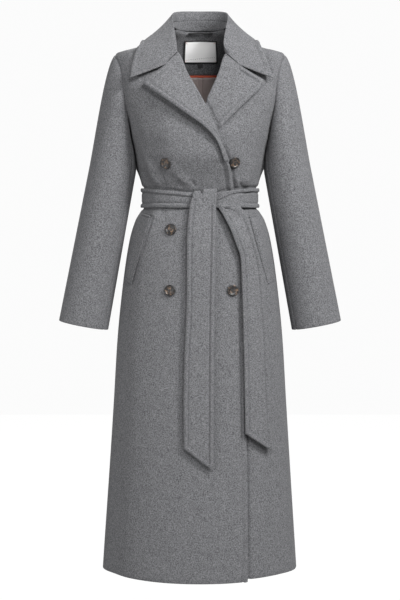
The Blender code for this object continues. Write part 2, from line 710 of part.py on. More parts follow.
def make_welts():
    for front, side in (("right", 1), ("left", -1)):
        corners = np.array([WELT_BOTTOM, WELT_TOP]) * np.array([side, 1])

        def welt(across, along):
            left = corners[0, 0] + (corners[1, 0] - corners[0, 0]) * along[:, None]
            right = corners[0, 1] + (corners[1, 1] - corners[0, 1]) * along[:, None]
            place = left + (right - left) * across[:, None]
            turn = turn_at(place[:, 0], place[:, 1])
            lift = front_out(front, turn, place[:, 1]) + WELT_GAP + WELT_CLOTH
            return on_form(turn, place[:, 1], lift)

        wall(f"pocket_welt_{front}", welt, 2, 9, side * WELT_CLOTH)


def make_inside():
    """Facing, piping and half lining inside the back, then the labels and the hanger loop on them."""
    facing_out = -CLOTH - LAP_GAP

    def side_turn(height):
        reach = np.minimum(INSIDE_HALF, INSIDE_SHARE * section("half_width", height))
        return math.pi - turn_at(reach, height)

    def layer(top, bottom, sag, out):
        """A layer between two levels, each sagging towards the centre back."""

        def shape(across, along):
            level = bottom + (top - bottom) * along
            first = side_turn(level)
            turn = first + (2 * math.pi - 2 * first) * across
            height = level - sag * (1 - along) * np.sin(np.pi * across)
            return on_form(turn, height, out)

        return shape

    facing = layer(NECK, FACING_BOTTOM, FACING_SAG, facing_out)
    wall("back_neck_facing", facing, 16, 5, FACING_CLOTH, WOOL_INSIDE)

    def piping(across, along):
        level = FACING_BOTTOM - SEAM - PIPING_DEEP * (1 - along)
        first = side_turn(level)
        turn = first + (2 * math.pi - 2 * first) * across
        return on_form(turn, level - FACING_SAG * np.sin(np.pi * across), facing_out)

    wall("neck_piping", piping, 16, 1, PIPING_CLOTH, PIPING_RED, SATIN_ROUGHNESS)

    def lining(across, along):
        top = FACING_BOTTOM - 2 * SEAM - PIPING_DEEP
        level = LINING_BOTTOM + (top - LINING_BOTTOM) * along
        first = side_turn(level)
        turn = first + (2 * math.pi - 2 * first) * across
        height = level - FACING_SAG * along * np.sin(np.pi * across)
        return on_form(turn, height, -CLOTH - LINING_GAP)

    wall("half_lining", lining, 16, 6, LINING_CLOTH, LINING_TAUPE, SATIN_ROUGHNESS)

    def patch(width, height, top, shift, out, bow=0.0):
        """A small rectangle that follows the inside of the back."""

        def shape(across, along):
            x = shift + (across - 0.5) * width
            level = top - height * (1 - along)
            turn = math.pi - turn_at(x, level)
            return on_form(turn, level, out - bow * 4 * across * (1 - across))

        return shape

    label_out = facing_out - FACING_CLOTH - LABEL_GAP
    label = patch(*LABEL_SIZE, LABEL_TOP, LABEL_SHIFT, label_out)
    wall("label", label, 6, 3, -LABEL_CLOTH, LABEL_WHITE, LABEL_ROUGHNESS)
    tab = patch(*TAB_SIZE, LABEL_TOP - LABEL_SIZE[1] - SEAM, TAB_SHIFT, label_out)
    wall("size_tab", tab, 2, 1, -LABEL_CLOTH, TAB_BLACK, LABEL_ROUGHNESS)
    loop = patch(*LOOP_SIZE, LOOP_HEIGHT, LABEL_SHIFT, label_out, LOOP_BOW)
    wall("hanger_loop", loop, 8, 1, -LOOP_CLOTH, LOOP_CHARCOAL, LABEL_ROUGHNESS)


def make_buttons():
    """Turned buttons with a raised rim and a dished middle, each square to the cloth."""
    for number, button in enumerate(BUTTONS, 1):
        outline = [
            (BUTTON_RADIUS * point.radius, 0.0, BUTTON_THICK * point.thickness) for point in BUTTON_OUTLINE
        ]
        data = bpy.data.meshes.new(f"button_{number}")
        data.from_pydata(outline, [(k, k + 1) for k in range(len(outline) - 1)], [])
        piece = bpy.data.objects.new(data.name, data)
        COAT.objects.link(piece)
        turned = piece.modifiers.new("turned", "SCREW")
        turned.steps = turned.render_steps = BUTTON_STEPS
        turned.use_merge_vertices = True
        turned.merge_threshold = 0.0001
        turn = turn_at(button.x, button.height)
        out = front_out(button.front, turn, button.height) + BUTTON_GAP
        seat = on_form(turn, button.height, out)
        normal = Vector(on_form(turn, button.height, out + 0.01) - seat)
        piece.matrix_world = Matrix.Translation(seat) @ normal.to_track_quat("Z", "Y").to_matrix().to_4x4()
        data.materials.append(finish(data.name, BUTTON_BROWN, BUTTON_ROUGHNESS))


for leftover in list(bpy.data.objects):
    bpy.data.objects.remove(leftover)
COAT = bpy.data.collections.new("wrap_coat")
bpy.context.scene.collection.children.link(COAT)
make_fronts_and_back()
make_sleeves()
make_lapels()
make_collar()
make_inside()
make_welts()
make_belt()
make_buttons()
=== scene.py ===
"""A long grey wool wrap coat, filled out as if worn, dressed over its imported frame.

Metres, +Z up, the front faces -Y and +X is the wearer's left. The origin is the middle of the neck, level
with the tops of the shoulders. A place on the body is a turn round it (0 at the front, 90 degrees at +X)
and a height.
"""

import math
from collections import namedtuple

import bpy
import numpy as np
from mathutils import Matrix, Vector


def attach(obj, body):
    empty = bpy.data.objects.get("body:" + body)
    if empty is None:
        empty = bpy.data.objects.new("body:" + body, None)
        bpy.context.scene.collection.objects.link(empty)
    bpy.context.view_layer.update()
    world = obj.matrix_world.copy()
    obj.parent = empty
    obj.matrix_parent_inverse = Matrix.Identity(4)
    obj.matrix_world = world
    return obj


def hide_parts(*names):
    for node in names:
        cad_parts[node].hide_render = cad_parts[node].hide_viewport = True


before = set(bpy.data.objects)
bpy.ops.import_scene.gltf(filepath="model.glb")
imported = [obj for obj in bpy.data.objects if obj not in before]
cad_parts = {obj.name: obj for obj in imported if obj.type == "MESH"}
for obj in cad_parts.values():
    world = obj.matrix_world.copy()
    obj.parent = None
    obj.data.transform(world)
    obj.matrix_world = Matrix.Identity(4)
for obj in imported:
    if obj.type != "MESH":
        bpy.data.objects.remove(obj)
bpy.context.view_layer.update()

# The studio
# A plain pale floor with soft light: a panel high on the right, one up in front, large weaker ones on the
# left, above and behind, and an even glow all round. The camera stands level with the belt and looks
# slightly down.
STUDIO = bpy.context.scene
CAMERA_PLACE = (0.0, -3.2, -0.4025)
CAMERA_DOWN = math.radians(3.915)
CAMERA_LENS = 83.28
CAMERA_SENSOR = 36.0
LIGHT_TARGET = Vector((0.0, 0.0, -0.45))
FLOOR_LEVEL = -1.42
FLOOR_HALF = 3.5
FLOOR_COLOUR = (0.02, 0.02, 0.02, 1.0)
FLOOR_ROUGHNESS = 0.9
FLOOR_GLOW = 0.955
WHITE = (1.0, 1.0, 1.0, 1.0)
BACKGROUND_WHITE = 0.97
ROOM_GLOW = 0.25

STUDIO.view_settings.view_transform = "Standard"
STUDIO.view_settings.look = "None"
camera = bpy.data.objects.new("camera", bpy.data.cameras.new("camera"))
camera.location = CAMERA_PLACE
camera.rotation_euler = (math.pi / 2 - CAMERA_DOWN, 0.0, 0.0)
camera.data.lens = CAMERA_LENS
camera.data.sensor_width = CAMERA_SENSOR
STUDIO.collection.objects.link(camera)
STUDIO.camera = camera

Panel = namedtuple("Panel", "name place size power")
LIGHT_PANELS = [
    Panel("key_panel", (2.1, -2.0, 1.6), 0.9, 142.0),
    Panel("front_panel", (0.8, -3.3, 1.2), 1.2, 74.0),
    Panel("fill_panel", (-2.4, -2.2, -0.2), 2.0, 44.0),
    Panel("top_panel", (0.2, 0.3, 2.2), 1.6, 7.0),
    Panel("back_panel", (-0.6, 2.8, 1.4), 2.0, 70.0),
]
for light in LIGHT_PANELS:
    lamp = bpy.data.objects.new(light.name, bpy.data.lights.new(light.name, "AREA"))
    lamp.data.size = light.size
    lamp.data.energy = light.power
    lamp.location = light.place
    lamp.rotation_euler = (LIGHT_TARGET - Vector(light.place)).to_track_quat("-Z", "Y").to_euler()
    lamp.visible_camera = False
    STUDIO.collection.objects.link(lamp)

room = bpy.data.worlds.new("room")
room.use_nodes = True
STUDIO.world = room
glow = room.node_tree.nodes["Background"]
glow.inputs["Color"].default_value = WHITE
glow.inputs["Strength"].default_value = ROOM_GLOW
seen = room.node_tree.nodes.new("ShaderNodeBackground")
seen.inputs["Color"].default_value = (BACKGROUND_WHITE,) * 3 + (1.0,)
which = room.node_tree.nodes.new("ShaderNodeLightPath")
either = room.node_tree.nodes.new("ShaderNodeMixShader")
room.node_tree.links.new(which.outputs["Is Camera Ray"], either.inputs["Fac"])
room.node_tree.links.new(glow.outputs["Background"], either.inputs[1])
room.node_tree.links.new(seen.outputs["Background"], either.inputs[2])
room.node_tree.links.new(either.outputs["Shader"], room.node_tree.nodes["World Output"].inputs["Surface"])

floor_mesh = bpy.data.meshes.new("floor")
floor_mesh.from_pydata(
    [(x * FLOOR_HALF, y * FLOOR_HALF, FLOOR_LEVEL) for x, y in ((-1, -1), (1, -1), (1, 1), (-1, 1))],
    [],
    [(0, 1, 2, 3)],
)
floor = bpy.data.objects.new("floor", floor_mesh)
STUDIO.collection.objects.link(floor)
floor.visible_diffuse = False
pale = bpy.data.materials.new("pale_floor")
pale.use_nodes = True
pale_shader = pale.node_tree.nodes["Principled BSDF"]
pale_shader.inputs["Base Color"].default_value = FLOOR_COLOUR
pale_shader.inputs["Roughness"].default_value = FLOOR_ROUGHNESS
pale_shader.inputs["Emission Color"].default_value = WHITE
pale_shader.inputs["Emission Strength"].default_value = FLOOR_GLOW
floor_mesh.materials.append(pale)

# The wool
# A brushed melton of dark and light grey fibres felted together, so no weave shows: fine flecks over a
# slight mottle, with a short matt nap. Every wool piece of the coat is cut from this one cloth; the stand and
# the facing inside the neck use a darker copy of it, with shade painted into its colour.
DARK_FIBRE = (0.048, 0.0485, 0.052)
LIGHT_FIBRE = (0.205, 0.206, 0.215)
FLECK_SCALE = 430.0
FIBRE_SCALE = 1100.0
MOTTLE_SCALE = 60.0
FLECK_SHARE = 0.68
FIBRE_SHARE = 0.26
MOTTLE_SHARE = 0.06
FLECK_SPREAD = (0.35, 0.65)
NAP_HEIGHT = 0.0006
NAP_STRENGTH = 0.5
WOOL_ROUGHNESS = 0.93
WOOL_GLOSS = 0.15
WOOL_SHEEN = 0.06
WOOL_SHEEN_ROUGHNESS = 0.6
# How much darker the wool of the stand and the facing is: painted shade for the inside of the neck
INSIDE_PAINTED_SHADE = 0.86


def socket(tree, name, kind, flow, value=None):
    """A named socket of a node group."""
    made = tree.interface.new_socket(name, in_out=flow, socket_type="NodeSocket" + kind)
    if value is not None:
        made.default_value = value


def noise(tree, place, scale, detail, roughness=0.6):
    node = tree.nodes.new("ShaderNodeTexNoise")
    node.inputs["Scale"].default_value = scale
    node.inputs["Detail"].default_value = detail
    node.inputs["Roughness"].default_value = roughness
    tree.links.new(place, node.inputs["Vector"])
    return node.outputs["Fac"]


def worked_out(tree, operation, first, second):
    """A Math node, fed by sockets or plain numbers."""
    node = tree.nodes.new("ShaderNodeMath")
    node.operation = operation
    for spot, value in zip(node.inputs, (first, second)):
        if isinstance(value, (int, float)):
            spot.default_value = value
        else:
            tree.links.new(value, spot)
    return node.outputs["Value"]


def spread(tree, value, low, high):
    """A value stretched so that low becomes 0 and high becomes 1."""
    node = tree.nodes.new("ShaderNodeMapRange")
    node.inputs["From Min"].default_value = low
    node.inputs["From Max"].default_value = high
    tree.links.new(value, node.inputs["Value"])
    return node.outputs["Result"]


def blended(tree, share, first, second):
    """A colour mixed from two, which are sockets or plain colours."""
    node = tree.nodes.new("ShaderNodeMix")
    node.data_type = "RGBA"
    tree.links.new(share, node.inputs["Factor"])
    colour_spots = [spot for spot in node.inputs if spot.type == "RGBA"]
    for spot, value in zip(colour_spots, (first, second)):
        if isinstance(value, tuple):
            spot.default_value = (*value, 1.0)
        else:
            tree.links.new(value, spot)
    return next(spot for spot in node.outputs if spot.type == "RGBA")


def make_heather():
    """The node group of felted fibres: colour flecks and the height of the nap."""
    tree = bpy.data.node_groups.new("heather", "ShaderNodeTree")
    socket(tree, "Dark Fibre", "Color", "INPUT", (*DARK_FIBRE, 1.0))
    socket(tree, "Light Fibre", "Color", "INPUT", (*LIGHT_FIBRE, 1.0))
    socket(tree, "Colour", "Color", "OUTPUT")
    socket(tree, "Nap", "Float", "OUTPUT")
    given = tree.nodes.new("NodeGroupInput")
    result = tree.nodes.new("NodeGroupOutput")
    place = tree.nodes.new("ShaderNodeTexCoord").outputs["Object"]
    flecks = noise(tree, place, FLECK_SCALE, detail=2.0)
    fibres = noise(tree, place, FIBRE_SCALE, detail=2.0)
    mottle = noise(tree, place, MOTTLE_SCALE, detail=3.0)
    mixed = worked_out(tree, "MULTIPLY", flecks, FLECK_SHARE)
    mixed = worked_out(tree, "ADD", mixed, worked_out(tree, "MULTIPLY", fibres, FIBRE_SHARE))
    mixed = worked_out(tree, "ADD", mixed, worked_out(tree, "MULTIPLY", mottle, MOTTLE_SHARE))
    share = spread(tree, mixed, *FLECK_SPREAD)
    colour = blended(tree, share, given.outputs["Dark Fibre"], given.outputs["Light Fibre"])
    tree.links.new(colour, result.inputs["Colour"])
    tree.links.new(worked_out(tree, "ADD", flecks, fibres), result.inputs["Nap"])
    return tree


HEATHER = make_heather()


def new_material(name, roughness):
    material = bpy.data.materials.new(name)
    material.use_nodes = True
    shader = material.node_tree.nodes["Principled BSDF"]
    shader.inputs["Roughness"].default_value = roughness
    return material, material.node_tree, shader


def bumped(tree, shader, height, distance, strength=1.0):
    bump = tree.nodes.new("ShaderNodeBump")
    bump.inputs["Distance"].default_value = distance
    bump.inputs["Strength"].default_value = strength
    tree.links.new(height, bump.inputs["Height"])
    tree.links.new(bump.outputs["Normal"], shader.inputs["Normal"])


def make_wool(name, shade):
    """The wool's finish, with its fibres' colours times shade, which below 1 paints shade into the colour."""
    material, tree, shader = new_material(name, WOOL_ROUGHNESS)
    shader.inputs["Specular IOR Level"].default_value = WOOL_GLOSS
    shader.inputs["Sheen Weight"].default_value = WOOL_SHEEN
    shader.inputs["Sheen Roughness"].default_value = WOOL_SHEEN_ROUGHNESS
    felt = tree.nodes.new("ShaderNodeGroup")
    felt.node_tree = HEATHER
    felt.inputs["Dark Fibre"].default_value = (*(c * shade for c in DARK_FIBRE), 1.0)
    felt.inputs["Light Fibre"].default_value = (*(c * shade for c in LIGHT_FIBRE), 1.0)
    tree.links.new(felt.outputs["Colour"], shader.inputs["Base Color"])
    bumped(tree, shader, felt.outputs["Nap"], NAP_HEIGHT, NAP_STRENGTH)
    return material


WOOL = make_wool("wool", 1.0)
# The same wool made darker, with shade painted into its colour, for the pieces inside the neck
WOOL_PAINTED_SHADE = make_wool("wool_painted_shade", INSIDE_PAINTED_SHADE)

# The fronts and the back
# Three panels of wool hang from the shoulders to the hem, sewn down the sides. The right front laps over the
# left, its edge topstitched, and the belt gathers the cloth into soft folds above and below the waist.
CLOTH = 0.0028
SEAM = 0.0003
LAP_GAP = 0.0012
HEM = -1.245
HEM_RISE = 0.006
HEM_RISE_FROM = -1.05
UNDER_HEM_UP = 0.005
NECK = -0.0015
FRONT_NECK = -0.0090
ARMHOLE_TOP = -0.060
ARMHOLE_BOTTOM = -0.252
ARMHOLE_FRONT = 0.055
ARMHOLE_BACK = 0.060

Section = namedtuple("Section", "height half_width front_depth back_depth fullness")
SECTIONS = [
    Section(-1.243, 0.2245, 0.154, 0.155, 2.1),
    Section(-1.090, 0.2145, 0.146, 0.149, 2.1),
    Section(-0.854, 0.1995, 0.134, 0.138, 2.2),
    Section(-0.714, 0.1910, 0.128, 0.133, 2.2),
    Section(-0.575, 0.1765, 0.121, 0.128, 2.2),
    Section(-0.483, 0.1620, 0.114, 0.115, 2.2),
    Section(-0.437, 0.1480, 0.106, 0.103, 2.2),
    Section(-0.414, 0.1345, 0.101, 0.095, 2.2),
    Section(-0.400, 0.1292, 0.099, 0.092, 2.2),
    Section(-0.373, 0.1292, 0.099, 0.092, 2.2),
    Section(-0.360, 0.1330, 0.103, 0.094, 2.2),
    Section(-0.345, 0.1365, 0.109, 0.096, 2.2),
    Section(-0.310, 0.1440, 0.121, 0.101, 2.2),
    Section(-0.280, 0.1495, 0.127, 0.106, 2.2),
    Section(-0.250, 0.1575, 0.127, 0.109, 2.3),
    Section(-0.220, 0.1680, 0.122, 0.111, 2.3),
    Section(-0.160, 0.1870, 0.108, 0.110, 2.4),
    Section(-0.100, 0.1965, 0.087, 0.103, 2.4),
    Section(-0.070, 0.1970, 0.072, 0.097, 2.4),
    Section(-0.058, 0.1905, 0.067, 0.094, 2.3),
    Section(-0.048, 0.1575, 0.064, 0.091, 2.2),
    Section(-0.040, 0.1300, 0.062, 0.089, 2.2),
    Section(-0.020, 0.0900, 0.056, 0.083, 2.1),
    Section(0.000, 0.0575, 0.050, 0.075, 2.0),
    Section(0.012, 0.0340, 0.046, 0.068, 2.0),
]

# The folds: where each is deepest, how far it spreads up, down and round, its depth, and how it leans
Fold = namedtuple("Fold", "turn height above below spread depth drift")
FOLDS = [
    Fold(-42, -0.345, 0.085, 0.018, 7, 0.0055, -230),
    Fold(-14, -0.345, 0.045, 0.018, 6, 0.0040, -320),
    Fold(46, -0.345, 0.070, 0.018, 8, 0.0045, 60),
    Fold(-41, -0.430, 0.018, 0.060, 6, 0.0050, 70),
    Fold(48, -0.430, 0.018, 0.100, 7, 0.0055, -130),
    Fold(-74, -1.243, 0.420, 0.100, 11, 0.0060, 0),
    Fold(68, -1.243, 0.480, 0.100, 12, 0.0060, 0),
    Fold(128, -1.243, 0.560, 0.100, 15, 0.0090, 0),
    Fold(168, -1.243, 0.500, 0.100, 13, 0.0070, 0),
    Fold(212, -1.243, 0.600, 0.100, 15, 0.0090, 0),
    Fold(248, -1.243, 0.460, 0.100, 12, 0.0070, 0),
    Fold(130, -0.350, 0.080, 0.018, 10, 0.0050, 40),
    Fold(178, -0.350, 0.070, 0.018, 10, 0.0045, 0),
    Fold(226, -0.350, 0.080, 0.018, 10, 0.0050, -40),
    Fold(150, -0.430, 0.018, 0.120, 11, 0.0050, 0),
    Fold(204, -0.430, 0.018, 0.110, 11, 0.0050, 0),
]
FOLDS_END = (-0.26, -0.20)

# Where the fronts' edges, and above the break their rolls, show on the body
EdgePoint = namedtuple("EdgePoint", "height right left")
FRONT_EDGE = [
    EdgePoint(-1.2480, 0.1050, -0.1050),
    EdgePoint(-1.0600, 0.1040, -0.1040),
    EdgePoint(-0.9000, 0.1010, -0.1010),
    EdgePoint(-0.6000, 0.0990, -0.0990),
    EdgePoint(-0.4500, 0.0930, -0.0900),
    EdgePoint(-0.3900, 0.0760, -0.0760),
    EdgePoint(-0.3680, 0.0726, -0.0720),
    EdgePoint(-0.3187, 0.0663, -0.0555),
    EdgePoint(-0.2803, 0.0521, -0.0380),
    EdgePoint(-0.2294, 0.0325, -0.0145),
    EdgePoint(-0.1800, 0.0088, 0.0088),
    EdgePoint(-0.1135, -0.0277, 0.0396),
    EdgePoint(-0.0708, -0.0463, 0.0546),
    EdgePoint(-0.0640, -0.0600, 0.0645),
    EdgePoint(-0.0450, -0.0600, 0.0645),
    EdgePoint(-0.0200, -0.0600, 0.0610),
    EdgePoint(0.0000, -0.0590, 0.0595),
]
ROLL_REACH = 0.0050
ROLL_FADE = (-0.335, -0.305)

# Turns and heights over which the lapping front rises over the other front, and over its lapel
LAP_START = (-62, -44)
LAPEL_RISE = 0.0056
LAPEL_RISE_TURNS = (-40, -20)
LAPEL_RISE_HEIGHTS = (-0.345, -0.290)
CHEST_FALL = 0.7
CHEST_FALL_HEIGHTS = (-0.16, -0.10)

# Topstitching: how far in from an edge, how deep and wide its groove is, how the edge puffs beside it, and
# the room that a line of it needs; the last four are shares of the inset
STITCH_INSET = 0.0098
STITCH_DIP = 0.0017
STITCH_WIDTH = 0.0019
EDGE_PUFF = 0.0020
EDGE_PUFF_AT = 0.45
EDGE_PUFF_WIDTH = 0.4
STITCH_ROOM = 1.5
STITCH_CLEAR = 0.98

# The threads, how far their middles stand off the cloth, the dips at the seams and how round the edges are
STITCH_PITCH = 0.0042
STITCH_LONG = 0.0030
THREAD_RADIUS = 0.00035
THREAD_OFF = 0.00014
THREAD_SIDES = 6
THREAD_RINGS = 4
THREAD_ROUGHNESS = 0.7
THREAD_FLECK_SCALE = 900.0
SEAM_DIP = 0.0012
SEAM_WIDTH = 0.0030
RIM_ANGLES = np.radians((45, 90, 135))
RIM_FREE = 0.95
RIM_SEWN = 0.05


def columns_of(table):
    """Each named column of a table, as an array."""
    return {name: np.array([getattr(row, name) for row in table], float) for name in table[0]._fields}


def eased(knots, values, at):
    """A smooth curve through a table's values, with no overshoot between rows and straight past the ends."""
    at = np.asarray(at, float)
    slopes = np.diff(values) / np.diff(knots)
    turning = slopes[:-1] * slopes[1:] <= 0
    mean = 2 * slopes[:-1] * slopes[1:] / np.where(turning, 1.0, slopes[:-1] + slopes[1:])
    tangents = np.concatenate([slopes[:1], np.where(turning, 0.0, mean), slopes[-1:]])
    i = np.clip(np.searchsorted(knots, at) - 1, 0, len(knots) - 2)
    span = knots[i + 1] - knots[i]
    f = (at - knots[i]) / span
    curve = (
        (2 * f**3 - 3 * f**2 + 1) * values[i]
        + (f**3 - 2 * f**2 + f) * span * tangents[i]
        + (3 * f**2 - 2 * f**3) * values[i + 1]
        + (f**3 - f**2) * span * tangents[i + 1]
    )
    below = values[0] + tangents[0] * (at - knots[0])
    above = values[-1] + tangents[-1] * (at - knots[-1])
    return np.where(at < knots[0], below, np.where(at > knots[-1], above, curve))


def ramp(at, start, end):
    """0 before start, 1 after end, with no corner between."""
    f = np.clip((at - start) / (end - start), 0.0, 1.0)
    return f * f * (3 - 2 * f)


def plateau(at, low, full, fade, high):
    """0 up to low, 1 from full to fade, and 0 again from high on."""
    return ramp(at, low, full) * (1 - ramp(at, fade, high))


def bell(away, width):
    """1 at no distance, falling to nothing past the width."""
    return np.exp(-((away / width) ** 2))


SECTION = columns_of(SECTIONS)
EDGE = columns_of(FRONT_EDGE)


def section(name, height):
    return eased(SECTION["height"], SECTION[name], height)


def form(turn, height):
    """Points of the smooth body form."""
    power = 2 / section("fullness", height)
    sine, cosine = np.sin(turn), np.cos(turn)
    depth = np.where(cosine > 0, section("front_depth", height), section("back_depth", height))
    x = section("half_width", height) * np.sign(sine) * np.abs(sine) ** power
    y = -depth * np.sign(cosine) * np.abs(cosine) ** power
    return np.stack([x, y, height + 0 * turn], axis=-1)


def folds(turn, height):
    """How far the folds lift the cloth."""
    lift = 0.0 * turn
    for fold in FOLDS:
        centre = np.radians(fold.turn + fold.drift * (height - fold.height))
        away = np.angle(np.exp(1j * (turn - centre))) / np.radians(fold.spread)
        reach = np.where(height > fold.height, fold.above, fold.below)
        lift = lift + fold.depth * np.exp(-(away**2)) * np.exp(-2 * ((height - fold.height) / reach) ** 2)
    return lift * (1 - ramp(height, *FOLDS_END))


def on_form(turn, height, out=0.0):
    """Points on the folded body form, moved out along its normal."""
    turn, height = np.broadcast_arrays(np.asarray(turn, float), np.asarray(height, float))
    step = 1e-4
    across = form(turn + step, height) - form(turn - step, height)
    along = form(turn, height + step) - form(turn, height - step)
    normal = np.cross(across, along)
    normal /= np.linalg.norm(normal, axis=-1, keepdims=True)
    return form(turn, height) + normal * (out + folds(turn, height))[..., None]


def turn_at(x, height):
    """The turn at which the front of the form has this x."""
    share = np.clip(np.abs(x) / section("half_width", height), 0.0, 1.0)
    return np.arcsin(np.sign(x) * share ** (section("fullness", height) / 2))


def lap(turn, height):
    """How far the lapping front stands off the form: over the other front, and over its lapel."""
    over_front = ramp(turn, *np.radians(LAP_START)) * (CLOTH + LAP_GAP)
    beside_lapel = ramp(turn, *np.radians(LAPEL_RISE_TURNS))
    chest = 1 - CHEST_FALL * ramp(height, *CHEST_FALL_HEIGHTS)
    return over_front + LAPEL_RISE * beside_lapel * chest * ramp(height, *LAPEL_RISE_HEIGHTS)


def front_out(front, turn, height):
    return lap(turn, height) if front == "right" else 0.0 * turn


def front_edge(front, height):
    """x of a front's cut edge, which lies inside the roll above the break."""
    inwards = -1 if front == "right" else 1
    shown = eased(EDGE["height"], EDGE[front], height)
    return shown + inwards * ROLL_REACH * ramp(height, *ROLL_FADE)


def armhole_turn(height, half_depth, depth_name):
    """The armhole's edge at a height, as a turn from the middle of the front or of the back."""
    middle = (ARMHOLE_TOP + ARMHOLE_BOTTOM) / 2
    rise = np.clip((height - middle) / (ARMHOLE_TOP - middle), -1.0, 1.0)
    reach = half_depth * np.sqrt(1 - rise**2) / section(depth_name, height)
    return np.arccos(reach ** (section("fullness", height) / 2))


def unit(vectors):
    return vectors / np.maximum(np.linalg.norm(vectors, axis=-1, keepdims=True), 1e-12)


def from_edge(grid, edge):
    """How far each point of a grid lies from one of its edges, square to that edge."""
    turned = grid if edge in ("start", "end") else grid.transpose(1, 0, 2)
    if edge in ("end", "last"):
        turned = turned[:, ::-1]
    steps = np.linalg.norm(np.diff(turned, axis=1), axis=2)
    distance = np.concatenate([np.zeros((len(turned), 1)), np.cumsum(steps, axis=1)], axis=1)
    side = unit(np.gradient(turned[:, 0], axis=0))
    few_columns = min(3, turned.shape[1] - 1)
    inwards = unit(turned[:, few_columns] - turned[:, 0])
    distance = distance * np.linalg.norm(np.cross(side, inwards), axis=1)[:, None]
    if edge in ("end", "last"):
        distance = distance[:, ::-1]
    return distance if edge in ("start", "end") else distance.T


def stitch_line(grid, distances, edge, inset, others):
    """Points along one edge, inset from it, that lie clear of the other stitched edges."""
    upright = edge in ("start", "end")
    rows = grid if upright else grid.transpose(1, 0, 2)
    near = distances[edge] if upright else distances[edge].T
    clear = [distances[other] if upright else distances[other].T for other in others]
    line = []
    for k, row in enumerate(near):
        order = np.argsort(row)
        if row.max() < inset * STITCH_ROOM:
            continue
        if any(np.interp(inset, row[order], other[k][order]) < inset * STITCH_CLEAR for other in clear):
            continue
        line.append([np.interp(inset, row[order], rows[k, order, axis]) for axis in range(3)])
    return np.array(line)


def cloth(
    name, shape, cells, material, thickness=CLOTH, facing=1, free=(), sewn=(), stitched=None, swell=None,
    inset=STITCH_INSET,
):
    """A closed shell of cloth over shape(across, along), and the lines of its topstitching.

    Its cells are counted across and along. Its edges are start and end across it, first and last along it.
    Free edges are rounded, sewn ones sink into their seams, and stitched ones have a groove along them over
    the span of the edge that is given.
    """
    columns, rows = cells
    stitched = stitched or {}
    across, along = np.meshgrid(np.linspace(0, 1, columns + 1), np.linspace(0, 1, rows + 1))
    base = shape(across.ravel(), along.ravel()).reshape(rows + 1, columns + 1, 3)
    normal = unit(np.cross(np.gradient(base, axis=1), np.gradient(base, axis=0))) * facing
    distances = {edge: from_edge(base, edge) for edge in {*stitched, *sewn}}
    relief = np.zeros(base.shape[:2])
    if swell:
        relief += swell(across.ravel(), along.ravel()).reshape(relief.shape)
    for edge in sewn:
        relief -= SEAM_DIP * bell(distances[edge], SEAM_WIDTH)
    far_away = 1.0
    slack = 1e-6
    nearest = np.full(relief.shape, far_away)
    for edge, (low, high) in stitched.items():
        span = along if edge in ("start", "end") else across
        outside = (span < low - slack) | (span > high + slack)
        distances[edge] = np.where(outside, far_away, distances[edge])
        nearest = np.minimum(nearest, distances[edge])
    relief -= STITCH_DIP * bell(nearest - inset, STITCH_WIDTH)
    relief += EDGE_PUFF * bell(nearest - inset * EDGE_PUFF_AT, inset * EDGE_PUFF_WIDTH)
    outer = base + normal * relief[..., None]
    inner = base - normal * thickness
    lines = []
    for edge in stitched:
        others = [other for other in stitched if other != edge]
        lines.append(stitch_line(outer + normal * THREAD_OFF, distances, edge, inset, others))

    border = [(0, c) for c in range(columns)] + [(r, columns) for r in range(rows)]
    border += [(rows, c) for c in range(columns, 0, -1)] + [(r, 0) for r in range(rows, 0, -1)]
    outwards = np.zeros(base.shape)
    roundness = np.zeros(base.shape[:2])
    sides = {"start": np.s_[:, 0], "end": np.s_[:, -1], "first": np.s_[0], "last": np.s_[-1]}
    leads = {"start": (1, -1), "end": (1, 1), "first": (0, -1), "last": (0, 1)}
    for edge, spot in sides.items():
        axis, sign = leads[edge]
        rim = RIM_FREE if edge in free else RIM_SEWN
        outwards[spot] += sign * unit(np.gradient(base, axis=axis)[spot]) * rim
        roundness[spot] = np.maximum(roundness[spot], rim)
    outwards = unit(outwards) * roundness[..., None]
    rim_at = tuple(np.array(border).T)
    middle = (outer[rim_at] + inner[rim_at]) / 2
    half = (outer[rim_at] - inner[rim_at]) / 2
    reach = outwards[rim_at] * np.linalg.norm(half, axis=1, keepdims=True)
    rims = [middle + half * math.cos(angle) + reach * math.sin(angle) for angle in RIM_ANGLES]

    points = np.concatenate([outer.reshape(-1, 3), inner.reshape(-1, 3), *rims])
    count = (rows + 1) * (columns + 1)
    index = np.arange(count).reshape(rows + 1, columns + 1)
    quads = np.stack([index[:-1, :-1], index[:-1, 1:], index[1:, 1:], index[1:, :-1]], axis=-1).reshape(-1, 4)
    around = index[rim_at]
    rim_loops = [2 * count + len(border) * k + np.arange(len(border)) for k in range(len(rims))]
    loops = [around, *rim_loops, around + count]
    faces = [quads, quads[:, ::-1] + count]
    for upper, lower in zip(loops, loops[1:]):
        faces.append(np.stack([upper, lower, np.roll(lower, -1), np.roll(upper, -1)], axis=-1))
    faces = np.concatenate(faces)
    if facing < 0:
        faces = faces[:, ::-1]
    mesh = bpy.data.meshes.new(name)
    mesh.from_pydata(points.tolist(), [], faces.tolist())
    uv = mesh.uv_layers.new(name="cloth")
    flat = np.concatenate([np.stack([across.ravel(), along.ravel()], axis=1)] * 2)
    flat = np.concatenate([flat] + [flat[around]] * len(rims))
    uv.data.foreach_set("uv", flat[faces.ravel()].astype(np.float32).ravel())
    mesh.shade_smooth()
    mesh.materials.append(material)
    piece = bpy.data.objects.new(name, mesh)
    STUDIO.collection.objects.link(piece)
    return piece, [line for line in lines if len(line) > 2]


